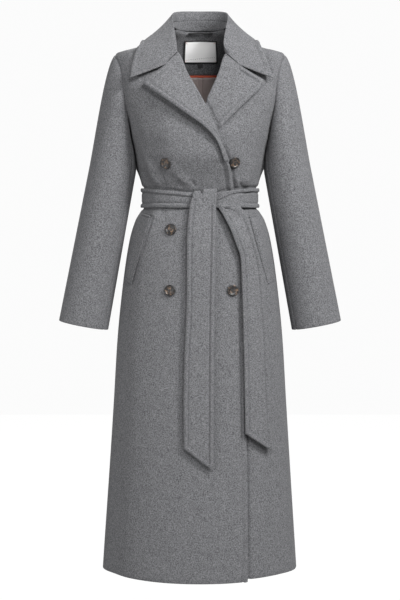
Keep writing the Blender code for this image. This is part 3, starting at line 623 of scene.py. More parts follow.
def make_stitch_tree():
    """Geometry Nodes that lay one short thread after another along a line."""
    tree = bpy.data.node_groups.new("topstitch", "GeometryNodeTree")
    socket(tree, "Line", "Geometry", "INPUT")
    socket(tree, "Pitch", "Float", "INPUT", STITCH_PITCH)
    socket(tree, "Length", "Float", "INPUT", STITCH_LONG)
    socket(tree, "Thread Radius", "Float", "INPUT", THREAD_RADIUS)
    socket(tree, "Thread", "Material", "INPUT")
    socket(tree, "Stitches", "Geometry", "OUTPUT")
    new, link = tree.nodes.new, tree.links.new
    given, result = new("NodeGroupInput"), new("NodeGroupOutput")
    curve = new("GeometryNodeMeshToCurve")
    link(given.outputs["Line"], curve.inputs["Mesh"])
    dots = new("GeometryNodeCurveToPoints")
    dots.mode = "LENGTH"
    link(curve.outputs["Curve"], dots.inputs["Curve"])
    link(given.outputs["Pitch"], dots.inputs["Length"])
    thread = new("GeometryNodeMeshUVSphere")
    thread.inputs["Segments"].default_value = THREAD_SIDES
    thread.inputs["Rings"].default_value = THREAD_RINGS
    thread.inputs["Radius"].default_value = 1.0
    half = new("ShaderNodeMath")
    half.operation = "MULTIPLY"
    half.inputs[1].default_value = 0.5
    link(given.outputs["Length"], half.inputs[0])
    size = new("ShaderNodeCombineXYZ")
    link(given.outputs["Thread Radius"], size.inputs["X"])
    link(given.outputs["Thread Radius"], size.inputs["Y"])
    link(half.outputs["Value"], size.inputs["Z"])
    aim = new("FunctionNodeAlignRotationToVector")
    aim.axis = "Z"
    link(dots.outputs["Tangent"], aim.inputs["Vector"])
    placed = new("GeometryNodeInstanceOnPoints")
    link(dots.outputs["Points"], placed.inputs["Points"])
    link(thread.outputs["Mesh"], placed.inputs["Instance"])
    link(aim.outputs["Rotation"], placed.inputs["Rotation"])
    link(size.outputs["Vector"], placed.inputs["Scale"])
    real = new("GeometryNodeRealizeInstances")
    link(placed.outputs["Instances"], real.inputs["Geometry"])
    smooth = new("GeometryNodeSetShadeSmooth")
    link(real.outputs["Geometry"], smooth.inputs["Geometry"])
    dyed = new("GeometryNodeSetMaterial")
    link(smooth.outputs["Geometry"], dyed.inputs["Geometry"])
    link(given.outputs["Thread"], dyed.inputs["Material"])
    link(dyed.outputs["Geometry"], result.inputs["Stitches"])
    return tree


STITCH_TREE = make_stitch_tree()


def make_thread(name, dark, light):
    material, tree, shader = new_material(name, THREAD_ROUGHNESS)
    place = tree.nodes.new("ShaderNodeTexCoord").outputs["Object"]
    share = spread(tree, noise(tree, place, THREAD_FLECK_SCALE, detail=2.0), *FLECK_SPREAD)
    tree.links.new(blended(tree, share, dark, light), shader.inputs["Base Color"])
    return material


GREY_THREAD = make_thread("grey_thread", dark=(0.035, 0.035, 0.037), light=(0.075, 0.075, 0.080))


def run_tree(name, lines, tree, material, **sizes):
    """A plain mesh made by a Geometry Nodes tree along lines of points."""
    points, edges = [], []
    for line in lines:
        first = len(points)
        points += [tuple(point) for point in line]
        edges += [(first + k, first + k + 1) for k in range(len(line) - 1)]
    path = bpy.data.meshes.new(name + "_line")
    path.from_pydata(points, edges, [])
    carrier = bpy.data.objects.new(name + "_line", path)
    STUDIO.collection.objects.link(carrier)
    modifier = carrier.modifiers.new("run", "NODES")
    modifier.node_group = tree
    sockets = {item.name: item.identifier for item in tree.interface.items_tree if item.in_out == "INPUT"}
    for label, value in {"Thread": material, **sizes}.items():
        modifier[sockets[label.replace("_", " ")]] = value
    graph = bpy.context.evaluated_depsgraph_get()
    made = bpy.data.meshes.new_from_object(carrier.evaluated_get(graph))
    made.name = name
    bpy.data.objects.remove(carrier)
    piece = bpy.data.objects.new(name, made)
    STUDIO.collection.objects.link(piece)
    return piece


def declare(piece, slot, *nodes):
    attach(piece, "root")
    if nodes:
        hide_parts(*nodes)


def sew(name, lines):
    """The visible stitches along lines."""
    declare(run_tree(name, lines, STITCH_TREE, GREY_THREAD), "wool")


# How many levels a panel's rows have in each stretch of it, and where the close ones round the belt lie
SKIRT_LEVELS = 76
WAIST_LEVELS = 80
CHEST_LEVELS = 16
ARMHOLE_LEVELS = 49
SHOULDER_LEVELS = 16
WAIST_FROM = -0.47
WAIST_TO = -0.30
BODY_COLUMNS = 130


def body_levels(top):
    """Levels of a panel's rows, closest together at the waist and round the armhole."""
    middle = (ARMHOLE_TOP + ARMHOLE_BOTTOM) / 2
    half = (ARMHOLE_TOP - ARMHOLE_BOTTOM) / 2
    skirt = np.linspace(HEM, WAIST_FROM, SKIRT_LEVELS)
    waist = np.linspace(WAIST_FROM, WAIST_TO, WAIST_LEVELS)[1:]
    chest = np.linspace(WAIST_TO, ARMHOLE_BOTTOM, CHEST_LEVELS)[1:-1]
    armhole_rows = middle - half * np.cos(np.linspace(0, math.pi, ARMHOLE_LEVELS))
    shoulder = np.linspace(ARMHOLE_TOP, top, SHOULDER_LEVELS)[1:]
    return np.concatenate([skirt, waist, chest, armhole_rows, shoulder])


def panel(levels, start, end, out=None, hem_up=0.0):
    """The shape of a panel from one turn to another at each level, its hem raised by hem_up at the front."""
    counts = np.arange(len(levels))

    def shape(across, along):
        height = np.interp(along * counts[-1], counts, levels)
        first = start(height)
        turn = first + (end(height) - first) * across
        rise = HEM_RISE * np.sin(turn) ** 2 + hem_up * np.cos(turn)
        height = height + rise * ramp(height, HEM_RISE_FROM, HEM)
        return on_form(turn, height, out(turn, height) if out else 0.0)

    return shape


LEVELS = body_levels(FRONT_NECK)
BODY_ROWS = len(LEVELS) - 1
BODY_CELLS = (BODY_COLUMNS, BODY_ROWS)
SIDE_RADIUS = 0.15
SEAM_TURN = SEAM / 2 / SIDE_RADIUS


def front_armhole(height):
    return armhole_turn(height, ARMHOLE_FRONT, "front_depth") - SEAM_TURN


def back_armhole(height):
    return math.pi - armhole_turn(height, ARMHOLE_BACK, "back_depth") + SEAM_TURN


right_shape = panel(LEVELS, lambda h: -front_armhole(h), lambda h: turn_at(front_edge("right", h), h), lap)
left_shape = panel(LEVELS, lambda h: turn_at(front_edge("left", h), h), front_armhole, hem_up=UNDER_HEM_UP)
back_shape = panel(body_levels(NECK), back_armhole, lambda h: 2 * math.pi - back_armhole(h))

# Small creases round the belt, each from where it fades out to where it is deepest, its width and its lift
Crease = namedtuple("Crease", "from_x from_height to_x to_height width lift")
CREASES_RIGHT = [
    Crease(-0.1171, -0.2799, -0.0818, -0.3590, 0.0065, -0.0058),
    Crease(-0.1349, -0.3155, -0.1148, -0.3557, 0.0055, -0.0045),
    Crease(-0.0524, -0.3445, -0.0413, -0.3635, 0.0045, -0.0038),
    Crease(-0.0212, -0.3423, -0.0123, -0.3612, 0.0045, -0.0034),
    Crease(-0.1276, -0.3445, -0.1162, -0.3617, 0.0020, -0.0022),
    Crease(-0.0859, -0.4226, -0.0814, -0.4114, 0.0050, -0.0055),
]
CREASES_LEFT = [
    Crease(0.0836, -0.3290, 0.0836, -0.3668, 0.0040, 0.0030),
    Crease(0.0925, -0.3490, 0.0903, -0.3657, 0.0035, -0.0036),
    Crease(0.1100, -0.3290, 0.1037, -0.3646, 0.0060, 0.0025),
    Crease(0.1059, -0.4315, 0.0859, -0.4092, 0.0050, -0.0055),
    Crease(0.1550, -0.5608, 0.1251, -0.4560, 0.0100, 0.0030),
]
CREASES_BACK = [
    Crease(0.1020, -0.2900, 0.0740, -0.3570, 0.0060, -0.0030),
    Crease(0.0310, -0.3180, 0.0220, -0.3600, 0.0045, -0.0025),
    Crease(-0.0480, -0.3050, -0.0350, -0.3590, 0.0050, -0.0028),
    Crease(-0.1090, -0.3000, -0.0860, -0.3580, 0.0060, -0.0032),
    Crease(0.0930, -0.4560, 0.0800, -0.4120, 0.0050, -0.0030),
    Crease(-0.0160, -0.4480, -0.0110, -0.4120, 0.0045, -0.0022),
    Crease(-0.0870, -0.4630, -0.0700, -0.4120, 0.0050, -0.0030),
]
CREASE_TAPER = 0.6
CREASES_OFF = (-0.4125, -0.4065, -0.3660, -0.3580)

# Where an edge lies on a front and presses it in: a lapel's, its notch's, the collar's, the other front's
# or a welt's
Press = namedtuple("Press", "from_x from_height to_x to_height width depth")
PRESSES_RIGHT = [
    Press(-0.1207, -0.1355, 0.0090, -0.2325, 0.0085, 0.0060),
    Press(0.0090, -0.2325, 0.0324, -0.2553, 0.0075, 0.0055),
    Press(0.0324, -0.2553, 0.0520, -0.3030, 0.0055, 0.0045),
    Press(-0.0800, -0.1030, -0.1180, -0.1210, 0.0105, 0.0140),
    Press(-0.1390, -0.0520, -0.1470, -0.1190, 0.0070, 0.0060),
    Press(-0.1066, -0.4300, -0.1528, -0.5800, 0.0022, 0.0030),
    Press(-0.1290, -0.4216, -0.1075, -0.4290, 0.0020, 0.0030),
]
PRESSES_LEFT = [
    Press(0.1374, -0.1299, 0.0373, -0.2382, 0.0055, 0.0050),
    Press(0.0940, -0.1030, 0.1330, -0.1190, 0.0105, 0.0140),
    Press(0.1050, -1.2600, 0.1010, -0.9000, 0.0060, 0.0062),
    Press(0.1010, -0.9000, 0.0990, -0.6000, 0.0060, 0.0062),
    Press(0.0990, -0.6000, 0.0930, -0.4500, 0.0060, 0.0062),
    Press(0.0726, -0.3680, 0.0663, -0.3187, 0.0060, 0.0062),
    Press(0.0663, -0.3187, 0.0521, -0.2803, 0.0060, 0.0062),
    Press(0.1420, -0.0520, 0.1560, -0.1170, 0.0070, 0.0065),
    Press(0.1290, -0.4216, 0.1075, -0.4290, 0.0020, 0.0030),
]

# The belt: its edges, how the knot pulls its top edge down to the right and left, and how it presses the
# cloth in
WAIST_TOP = -0.3650
WAIST_BOTTOM = -0.4085
BELT_DIP = (0.0125, 0.0180)
BELT_DIP_TURN = (32, 26)
BELT_PRESS = 0.0042
BELT_PRESS_WIDTH = 0.0048

# The back is fuller below the armholes, so the gap between the body and a sleeve closes there
SIDE_FULL = 0.0075
SIDE_FULL_HEIGHT = -0.300
SIDE_FULL_REACH = 0.030
SIDE_FULL_ACROSS = 0.16

# The lapping front's edge rolls softly from the lapel down to the belt, with a groove inside the roll
EDGE_ROLL = 0.0045
EDGE_ROLL_IN = 0.0045
EDGE_ROLL_WIDTH = 0.0036
EDGE_ROLL_GROOVE = 0.0024
EDGE_ROLL_GROOVE_IN = 0.0130
EDGE_ROLL_HEIGHTS = (-0.392, -0.372, -0.290, -0.270)


def beside(points, line):
    """How far along a line points lie, as a share, and how far beside it, as seen from the front."""
    start = np.array([line.from_x, line.from_height])
    run = np.array([line.to_x, line.to_height]) - start
    away = points[:, ::2] - start
    share = np.clip(away @ run / (run @ run), 0.0, 1.0)
    return share, np.linalg.norm(away - share[:, None] * run, axis=1)


def creases(points, table):
    """How far small creases lift the cloth, flat again where the belt lies on it."""
    lift = np.zeros(len(points))
    for crease in table:
        share, gap = beside(points, crease)
        lift += crease.lift * ramp(share, 0.0, CREASE_TAPER) * bell(gap, crease.width)
    return lift * (1 - plateau(points[:, 2], *CREASES_OFF))


def belt_dip(turn):
    """How far the knot pulls the band's top edge down on either side of it."""
    away = np.degrees(np.angle(np.exp(1j * turn)))
    right, left = (dip * bell(away, reach) for dip, reach in zip(BELT_DIP, BELT_DIP_TURN))
    return np.where(away < 0, right, left)


def pressed(points, table):
    """How far edges that lie on the cloth, and the belt, press it in."""
    depth = np.zeros(len(points))
    for press in table:
        _, gap = beside(points, press)
        depth = np.maximum(depth, press.depth * bell(gap, press.width))
    turn = np.where(points[:, 1] < 0, turn_at(points[:, 0], points[:, 2]), math.pi)
    for edge in (WAIST_TOP - belt_dip(turn), WAIST_BOTTOM):
        depth = np.maximum(depth, BELT_PRESS * bell(points[:, 2] - edge, BELT_PRESS_WIDTH))
    return depth


# The fronts sink beside the sleeves, from the shoulder to under the arm, over these shares of their width
ARMHOLE_PRESS = 0.0070
ARMHOLE_PRESS_START = 0.016
ARMHOLE_PRESS_WIDTH = 0.055
ARMHOLE_PRESS_HEIGHTS = (-0.280, -0.245, -0.150, -0.110)


def armhole_press(away, height):
    """How far a front sinks, from its share of the width away from the armhole."""
    reach = plateau(height, *ARMHOLE_PRESS_HEIGHTS) * ramp(away, 0.0, ARMHOLE_PRESS_START)
    return ARMHOLE_PRESS * reach * bell(away, ARMHOLE_PRESS_WIDTH)


def right_swell(across, along):
    points = right_shape(across, along)
    height = points[:, 2]
    inwards = eased(EDGE["height"], EDGE["right"], height) - points[:, 0]
    roll = EDGE_ROLL * bell(inwards - EDGE_ROLL_IN, EDGE_ROLL_WIDTH)
    roll -= EDGE_ROLL_GROOVE * bell(inwards - EDGE_ROLL_GROOVE_IN, EDGE_ROLL_WIDTH)
    sunk = pressed(points, PRESSES_RIGHT) + armhole_press(across, height)
    return creases(points, CREASES_RIGHT) - sunk + roll * plateau(height, *EDGE_ROLL_HEIGHTS)


def left_swell(across, along):
    points = left_shape(across, along)
    sunk = pressed(points, PRESSES_LEFT) + armhole_press(1 - across, points[:, 2])
    return creases(points, CREASES_LEFT) - sunk


def back_swell(across, along):
    points = back_shape(across, along)
    side = SIDE_FULL * bell(np.minimum(across, 1 - across), SIDE_FULL_ACROSS)
    side = side * bell(points[:, 2] - SIDE_FULL_HEIGHT, SIDE_FULL_REACH)
    return creases(points, CREASES_BACK) - pressed(points, []) + side


# The lapping front's edge is topstitched from the hem up to behind the belt
EDGE_STITCHED_TO = -0.385
break_row = np.searchsorted(LEVELS, EDGE_STITCHED_TO) / BODY_ROWS
front_right, right_lines = cloth(
    "front_right_cloth", right_shape, BODY_CELLS, WOOL, free=("first", "end"), sewn=("start",),
    stitched={"end": (0.0, break_row)}, swell=right_swell,
)
front_left, _ = cloth(
    "front_left_cloth", left_shape, BODY_CELLS, WOOL, free=("first", "start"), sewn=("end",), swell=left_swell
)
back, _ = cloth(
    "back_cloth", back_shape, BODY_CELLS, WOOL, free=("first",), sewn=("start", "end"), swell=back_swell
)
for piece, node, flat, area in (
    (front_right, "front_right", (0.48, 1.27), 0.405),
    (front_left, "front_left", (0.48, 1.27), 0.391),
    (back, "back", (0.60, 1.26), 0.616),
):
    declare(piece, "wool", node)

# A buttonhole in the lapping front, sewn round with the same thread
BUTTONHOLE = (0.0166, 0.0473)
BUTTONHOLE_HEIGHT = -0.305
BUTTONHOLE_HALF = 0.0009
BUTTONHOLE_POINTS = 16
hole_x = np.linspace(*BUTTONHOLE, BUTTONHOLE_POINTS)
for side in (-1, 1):
    height = BUTTONHOLE_HEIGHT + side * BUTTONHOLE_HALF + 0 * hole_x
    turn = turn_at(hole_x, height)
    right_lines.append(on_form(turn, height, lap(turn, height) + THREAD_OFF))
sew("front_edge_stitches", right_lines)

# The sleeves
# Two-piece sleeves of the same wool, eased into the armholes, with a seam down the front of the forearm and
# one behind. They hang close to the body, bent slightly forwards, and end in plain turned cuffs.
UPPER_ARM = (0.2005, 0.000, -0.3223)
CUFF = (0.2673, -0.020, -0.6763)
UPPER_ARM_HALF = (0.0535, 0.066)
CUFF_HALF = (0.0574, 0.047)
FRONT_SEAM = 150
BACK_SEAM = 255
CAP_SHARE = 0.45
CAP_PULL = 0.6
CAP_LEAD = (0.32, 0.0, -0.75)
CAP_LEAD_TOP = (0.10, 0.0, 0.65)
CAP_LEAD_UNDER = (-0.55, 0.0, -0.20)
CAP_LEAD_FRONT = (0.0, -0.25, 0.0)
SLEEVE_LEAD = -0.0015
SLEEVE_ROWS = 120


def armhole(angle):
    """The edge that a sleeve is sewn to: 0 at the shoulder, 90 degrees at the front, 180 under the arm."""
    middle = (ARMHOLE_TOP + ARMHOLE_BOTTOM) / 2
    height = middle + (ARMHOLE_TOP - middle) * np.cos(angle)
    forward = np.sin(angle) > 0
    half_depth = np.where(forward, ARMHOLE_FRONT, ARMHOLE_BACK)
    depth = np.where(forward, section("front_depth", height), section("back_depth", height))
    fullness = section("fullness", height)
    share = np.abs(half_depth * np.sin(angle) / depth) ** fullness
    x = section("half_width", height) * (1 - share) ** (1 / fullness) + SLEEVE_LEAD
    return np.stack([x, -half_depth * np.sin(angle), height], axis=-1)


def sleeve(side, start, end):
    """The shape of a sleeve piece between two angles round the arm, from the armhole down to the cuff."""
    upper, cuff = np.array(UPPER_ARM), np.array(CUFF)
    axis = (cuff - upper) / np.linalg.norm(cuff - upper)
    outwards = np.array([-axis[2], 0.0, axis[0]])
    outwards /= np.linalg.norm(outwards)
    forwards = np.array([0.0, -1.0, 0.0])

    def ring(angle, down):
        half = np.array(UPPER_ARM_HALF) + np.multiply.outer(down, np.subtract(CUFF_HALF, UPPER_ARM_HALF))
        centre = upper + np.multiply.outer(down, cuff - upper)
        wide = (half[:, 0] * np.cos(angle))[:, None] * outwards
        deep = (half[:, 1] * np.sin(angle))[:, None] * forwards
        return centre + wide + deep

    def shape(across, along):
        angle = np.radians(start + (end - start) * across)
        seam = armhole(angle)
        top = ring(angle, 0 * angle)
        reach = np.linalg.norm(top - seam, axis=1, keepdims=True)
        over, under = np.clip(np.cos(angle), 0.0, None), np.clip(-np.cos(angle), 0.0, None)
        lead = CAP_LEAD + np.outer(over, CAP_LEAD_TOP) + np.outer(under, CAP_LEAD_UNDER)
        lead = lead + np.outer(np.sin(angle), CAP_LEAD_FRONT)
        f = np.clip(along / CAP_SHARE, 0.0, 1.0)[:, None]
        cap = (
            (2 * f**3 - 3 * f**2 + 1) * seam
            + (f**3 - 2 * f**2 + f) * lead * reach * CAP_PULL
            + (3 * f**2 - 2 * f**3) * top
            + (f**3 - f**2) * axis * reach
        )
        below = ring(angle, (along - CAP_SHARE) / (1 - CAP_SHARE))
        points = np.where((along < CAP_SHARE)[:, None], cap, below)
        return points * np.array([side, 1, 1])

    return shape


sleeve_gap = math.degrees(SEAM / 2 / UPPER_ARM_HALF[0])
for side, wearer in ((-1, "right"), (1, "left")):
    for name, start, end, columns, flat, area in (
        ("top", BACK_SEAM - 360, FRONT_SEAM, 72, (0.27, 0.63), 0.140),
        ("under", FRONT_SEAM, BACK_SEAM, 32, (0.11, 0.51), 0.047),
    ):
        shape = sleeve(side, start + sleeve_gap, end - sleeve_gap)
        piece, _ = cloth(
            f"{name}_sleeve_{wearer}_cloth", shape, (columns, SLEEVE_ROWS), WOOL,
            facing=side, free=("last",), sewn=("start", "end", "first"),
        )
        declare(piece, "wool", f"{name}_sleeve_{wearer}")

# The lapels
# The tops of the fronts turn back over a soft roll and lie on the chest, the right one over the left. Each is
# faced with the same wool and topstitched along its free edges, and its point stands a little off the chest.
ROLL_SEAM = 0.0008
ROLL_SHARE = 0.34
NOTCH_SHARE = 0.60
GORGE_SAG = 0.0045
LAPEL_CELLS = (56, 90)
LAPEL_STITCHED_TO = 0.93
LapelRow = namedtuple("LapelRow", "roll_height edge_x edge_height roll_lift edge_lift")
LAPEL_RIGHT = [
    LapelRow(-0.0708, -0.1207, -0.1355, 0.0070, 0.0150),
    LapelRow(-0.0860, -0.1094, -0.1455, 0.0070, 0.0160),
    LapelRow(-0.1330, -0.0700, -0.1745, 0.0075, 0.0180),
    LapelRow(-0.1820, -0.0303, -0.2043, 0.0075, 0.0180),
    LapelRow(-0.2150, 0.0090, -0.2339, 0.0070, 0.0150),
    LapelRow(-0.2500, 0.0324, -0.2553, 0.0062, 0.0105),
    LapelRow(-0.2760, 0.0430, -0.2790, 0.0054, 0.0072),
    LapelRow(-0.3020, 0.0520, -0.3030, 0.0050, 0.0052),
]
LAPEL_LEFT = [
    LapelRow(-0.0708, 0.1374, -0.1299, 0.0070, 0.0150),
    LapelRow(-0.0860, 0.1275, -0.1460, 0.0070, 0.0145),
    LapelRow(-0.1330, 0.0935, -0.1800, 0.0060, 0.0115),
    LapelRow(-0.1720, 0.0605, -0.2135, 0.0048, 0.0072),
    LapelRow(-0.2000, 0.0373, -0.2382, 0.0045, 0.0048),
    LapelRow(-0.2350, 0.0080, -0.2620, 0.0042, 0.0044),
    LapelRow(-0.2750, -0.0180, -0.2800, 0.0040, 0.0040),
]


def lapel(front):
    """The shape of a lapel: round the roll from inside the front's edge, then flat over the front."""
    rows = columns_of(LAPEL_RIGHT if front == "right" else LAPEL_LEFT)
    stations = np.linspace(0, 1, len(rows["edge_x"]))

    def column(name, along):
        return eased(stations, rows[name], along)

    def shape(across, along):
        roll_height = column("roll_height", along)
        edge_gap = ROLL_SEAM if front == "right" else -ROLL_SEAM
        roll = np.stack([front_edge(front, roll_height) + edge_gap, roll_height], axis=1)
        edge = np.stack([column("edge_x", along), column("edge_height", along)], axis=1)
        width = np.linalg.norm(edge - roll, axis=1)
        flat = np.clip((across - ROLL_SHARE) / (1 - ROLL_SHARE), 0.0, None)
        bend = np.pi * np.clip(across / ROLL_SHARE, 0.0, 1.0)
        roll_lift = column("roll_lift", along)
        radius = (roll_lift + CLOTH) / 2
        inwards = flat - radius * np.sin(bend) / width
        place = roll + (edge - roll) * inwards[:, None]
        place[:, 1] -= GORGE_SAG * (1 - np.clip(along, 0, 1)) ** 4 * 4 * flat * (1 - flat)
        turn = turn_at(place[:, 0], place[:, 1])
        lift = roll_lift + (column("edge_lift", along) - roll_lift) * ramp(flat, 0, 1)
        lift = lift - radius * (1 + np.cos(bend))
        return on_form(turn, place[:, 1], front_out(front, turn, place[:, 1]) + lift)

    return shape


# Where the lapping front's roll lies on the other lapel and presses it in
ROLL_PRESSES = [
    Press(0.0110, -0.1790, 0.0350, -0.2294, 0.0075, 0.0045),
    Press(0.0350, -0.2294, 0.0540, -0.2803, 0.0075, 0.0045),
]


def under_roll(across, along):
    return -pressed(lapel("left")(across, along), ROLL_PRESSES)


for front, facing, area, swell in (("right", 1, 0.0160, None), ("left", -1, 0.0170, under_roll)):
    piece, lines = cloth(
        f"lapel_{front}_cloth", lapel(front), LAPEL_CELLS, WOOL, CLOTH - SEAM, facing,
        free=("end", "first", "last"), swell=swell,
        stitched={"end": (0.0, LAPEL_STITCHED_TO), "first": (NOTCH_SHARE, 1.0)},
    )
    declare(piece, "wool", f"lapel_{front}")
    sew(f"lapel_{front}_stitches", lines)

# The collar
# A stand round the back of the neck carries the leaf, which rolls over it and spreads on the shoulders to two
# points. The leaf is sewn to the lapels at the gorge and topstitched along its free edge.
GORGE_GAP = 0.009
GORGE_OPENING = 3
COLLAR_FOLD = 0.0095
COLLAR_DROP = 0.006
COLLAR_CLEAR = 0.0035
COLLAR_CLEAR_SHARES = (0.25, 0.40)
COLLAR_CLEAR_HEIGHTS = (0.002, -0.006)
CREST_SHARE = 0.3
INSIDE_LEAN = 0.001
LEAF_SHARES = (0.28, 0.60)
LEAF_CROWN = -0.002
NECK_AXIS_Y = 0.010
NECK_SEAM = 0.001
STAND_START = 0.125
COLLAR_CELLS = (150, 60)
COLLAR_ENDS_STITCHED_FROM = 0.8
STAND_CELLS = (90, 12)
CollarRow = namedtuple("CollarRow", "crest_x crest_y crest_z inside edge_turn edge_height edge_out neck_turn")
COLLAR = [
    CollarRow(0.0510, -0.066, -0.040, 0.008, 44, -0.0820, 0.010, 52),
    CollarRow(0.0560, -0.036, -0.004, 0.012, 52, -0.0500, 0.009, 70),
    CollarRow(0.0600, 0.004, 0.029, 0.018, 84, -0.0400, 0.007, 88),
    CollarRow(0.0480, 0.048, 0.043, 0.021, 136, -0.0470, 0.007, 132),
    CollarRow(0.0000, 0.068, 0.0465, 0.021, 180, -0.0560, 0.007, 180),
]
COLLAR_POINT_RIGHT = (-0.1450, -0.1230)
COLLAR_POINT_LEFT = (0.1535, -0.1215)
COLLAR_POINT_OUT = 0.018


def collar_guides():
    """Points that the collar passes through: at each station, from inside over the crest to the edge."""
    half = []
    inner_places = []
    for row in COLLAR:
        crest = np.array([row.crest_x, row.crest_y, row.crest_z])
        away = unit(np.array([row.crest_x, row.crest_y - NECK_AXIS_Y, 0.0]))
        down = np.array([0.0, 0.0, -1.0])
        inside = crest + away * INSIDE_LEAN + down * row.inside
        over = crest + away * COLLAR_FOLD + down * COLLAR_DROP
        edge = on_form(np.radians(row.edge_turn), row.edge_height, row.edge_out)
        near, far = (over + (edge - over) * share + away * LEAF_CROWN for share in LEAF_SHARES)
        half.append([inside, crest + away * COLLAR_FOLD * CREST_SHARE, over, near, far, edge])
        inner_places.append(on_form(np.radians(row.neck_turn), NECK_SEAM))
    half = np.array(half)
    mirror = np.array([-1.0, 1.0, 1.0])
    ends = {}
    for front, point in (("right", COLLAR_POINT_RIGHT), ("left", COLLAR_POINT_LEFT)):
        shares = np.array([0.0, ROLL_SHARE / 2, ROLL_SHARE, (ROLL_SHARE + NOTCH_SHARE) / 2, NOTCH_SHARE])
        gorge = lapel(front)(shares, -GORGE_GAP * (1 + GORGE_OPENING * shares))
        tip_turn = turn_at(*point)
        tip = on_form(tip_turn, point[1], front_out(front, tip_turn, point[1]) + COLLAR_POINT_OUT)
        ends[front] = np.concatenate([gorge, tip[None]])
    guides = np.concatenate([ends["right"][None], half * mirror, half[-2::-1], ends["left"][None]])
    neck = np.array(inner_places)
    return guides, np.concatenate([neck * mirror, neck[-2::-1]])


def through(guides, at):
    """Smooth points along the first axis of an array of guide points."""
    count = len(guides)
    place = np.clip(at, 0.0, 1.0) * (count - 1)
    i = np.clip(np.floor(place).astype(int), 0, count - 2)
    f = (place - i).reshape(-1, *([1] * (guides.ndim - 1)))
    before, start = guides[np.maximum(i - 1, 0)], guides[i]
    end, after = guides[i + 1], guides[np.minimum(i + 2, count - 1)]
    return 0.5 * (
        2 * start
        + (end - before) * f
        + (2 * before - 5 * start + 4 * end - after) * f**2
        + (3 * start - before - 3 * end + after) * f**3
    )


def clear_of_body(points, share):
    """A share of the collar's points moved out, where need be, to lie clear over the fronts and the back."""
    x, y, height = points.T
    power = section("fullness", height) / 2
    depth = np.where(y < 0, section("front_depth", height), section("back_depth", height))
    wide = np.sign(x) * np.abs(x / section("half_width", height)) ** power
    deep = -np.sign(y) * np.abs(y / depth) ** power
    turn = np.arctan2(wide, deep)
    foot = on_form(turn, height)
    normal = on_form(turn, height, 1.0) - foot
    least = np.where(x < 0, lap(turn, height), 0.0) + CLOTH + COLLAR_CLEAR
    short = least - np.sum((points - foot) * normal, axis=1)
    return points + normal * (share * np.clip(short, 0.0, None))[:, None]


guides, neck_line = collar_guides()


def fall(across, along):
    lines = through(guides, across)
    points = np.array([through(line, np.array([place]))[0] for line, place in zip(lines, along)])
    outside = ramp(along, *COLLAR_CLEAR_SHARES) * ramp(points[:, 2], *COLLAR_CLEAR_HEIGHTS)
    return clear_of_body(points, outside)


def stand(across, along):
    place = STAND_START + (1 - 2 * STAND_START) * across
    top = through(guides[2:-2, 0], place) - np.array([0.0, 0.0, SEAM])
    bottom = through(neck_line[1:-1], place)
    return bottom + (top - bottom) * along[:, None]


ends_span = (COLLAR_ENDS_STITCHED_FROM, 1.0)
leaf, lines = cloth(
    "collar_fall_cloth", fall, COLLAR_CELLS, WOOL, free=("start", "end", "last"), sewn=("first",),
    stitched={"last": (0.0, 1.0), "start": ends_span, "end": ends_span},
)
declare(leaf, "wool", "collar_fall")
sew("collar_stitches", lines)
# The stand is dressed in the wool with painted shade
stand_piece, _ = cloth(
    "collar_stand_cloth", stand, STAND_CELLS, WOOL_PAINTED_SHADE, CLOTH - SEAM, sewn=("first", "last")
)
declare(stand_piece, "wool", "collar_stand")

# The inside of the back
# A shaped facing of wool below the collar, bound at its lower edge with red satin tape, and under it the top
# of a satin half lining with a pleat at the centre. Two blank woven labels and a hanger loop are sewn on the
# facing.
FACING_CLOTH = 0.0016
LINING_CLOTH = 0.0010
LINING_GAP = 0.0022
FACING_TOP = 0.0008
FACING_LEAN = 0.0032
FACING_BOTTOM = -0.0930
FACING_SAG = 0.0045
FACING_CELLS = (60, 24)
PIPING_DEEP = 0.0038
PIPING_CLOTH = 0.0024
PIPING_CELLS = (60, 4)
LINING_BOTTOM = -0.340
LINING_CELLS = (120, 40)
PLEAT_DIP = 0.0030
PLEAT_WIDTH = 0.012
INSIDE_HALF = 0.105
INSIDE_SHARE = 0.96
LABEL_SIZE = (0.081, 0.0535)
LABEL_CLOTH = 0.0007
LABEL_GAP = 0.0020
LABEL_TOP = -0.0165
LABEL_SHIFT = 0.0015
LABEL_CELLS = (40, 26)
TAB_SIZE = (0.0125, 0.0088)
TAB_SHIFT = 0.0008
TAB_CELLS = (8, 8)
facing_out = -CLOTH - LAP_GAP
label_out = facing_out - FACING_CLOTH - LABEL_GAP


def inside_turn(across, level):
    """Turns between the two sides of the facing or the lining at a level."""
    reach = np.minimum(INSIDE_HALF, INSIDE_SHARE * section("half_width", level))
    first = math.pi - turn_at(reach, level)
    return first + (2 * math.pi - 2 * first) * across


def facing_shape(across, along):
    level = FACING_BOTTOM + (FACING_TOP - FACING_BOTTOM) * along
    height = level - FACING_SAG * (1 - along) * np.sin(np.pi * across)
    lean = FACING_LEAN * ramp(height, NECK - FACING_CLOTH, FACING_TOP)
    return on_form(inside_turn(across, level), height, facing_out - FACING_CLOTH + lean)


def piping_shape(across, along):
    level = FACING_BOTTOM - SEAM - PIPING_DEEP * (1 - along)
    height = level - FACING_SAG * np.sin(np.pi * across)
    return on_form(inside_turn(across, level), height, facing_out - PIPING_CLOTH)


def lining_shape(across, along):
    top = FACING_BOTTOM - 2 * SEAM - PIPING_DEEP
    level = LINING_BOTTOM + (top - LINING_BOTTOM) * along
    height = level - FACING_SAG * along * np.sin(np.pi * across)
    return on_form(inside_turn(across, level), height, -CLOTH - LINING_GAP - LINING_CLOTH)


def patch(width, height, top, shift, out, bow=0.0):
    """A small rectangle that follows the inside of the back."""

    def shape(across, along):
        x = shift + (across - 0.5) * width
        level = top - height * (1 - along)
        turn = math.pi - turn_at(x, level)
        return on_form(turn, level, out - bow * 4 * across * (1 - across))

    return shape


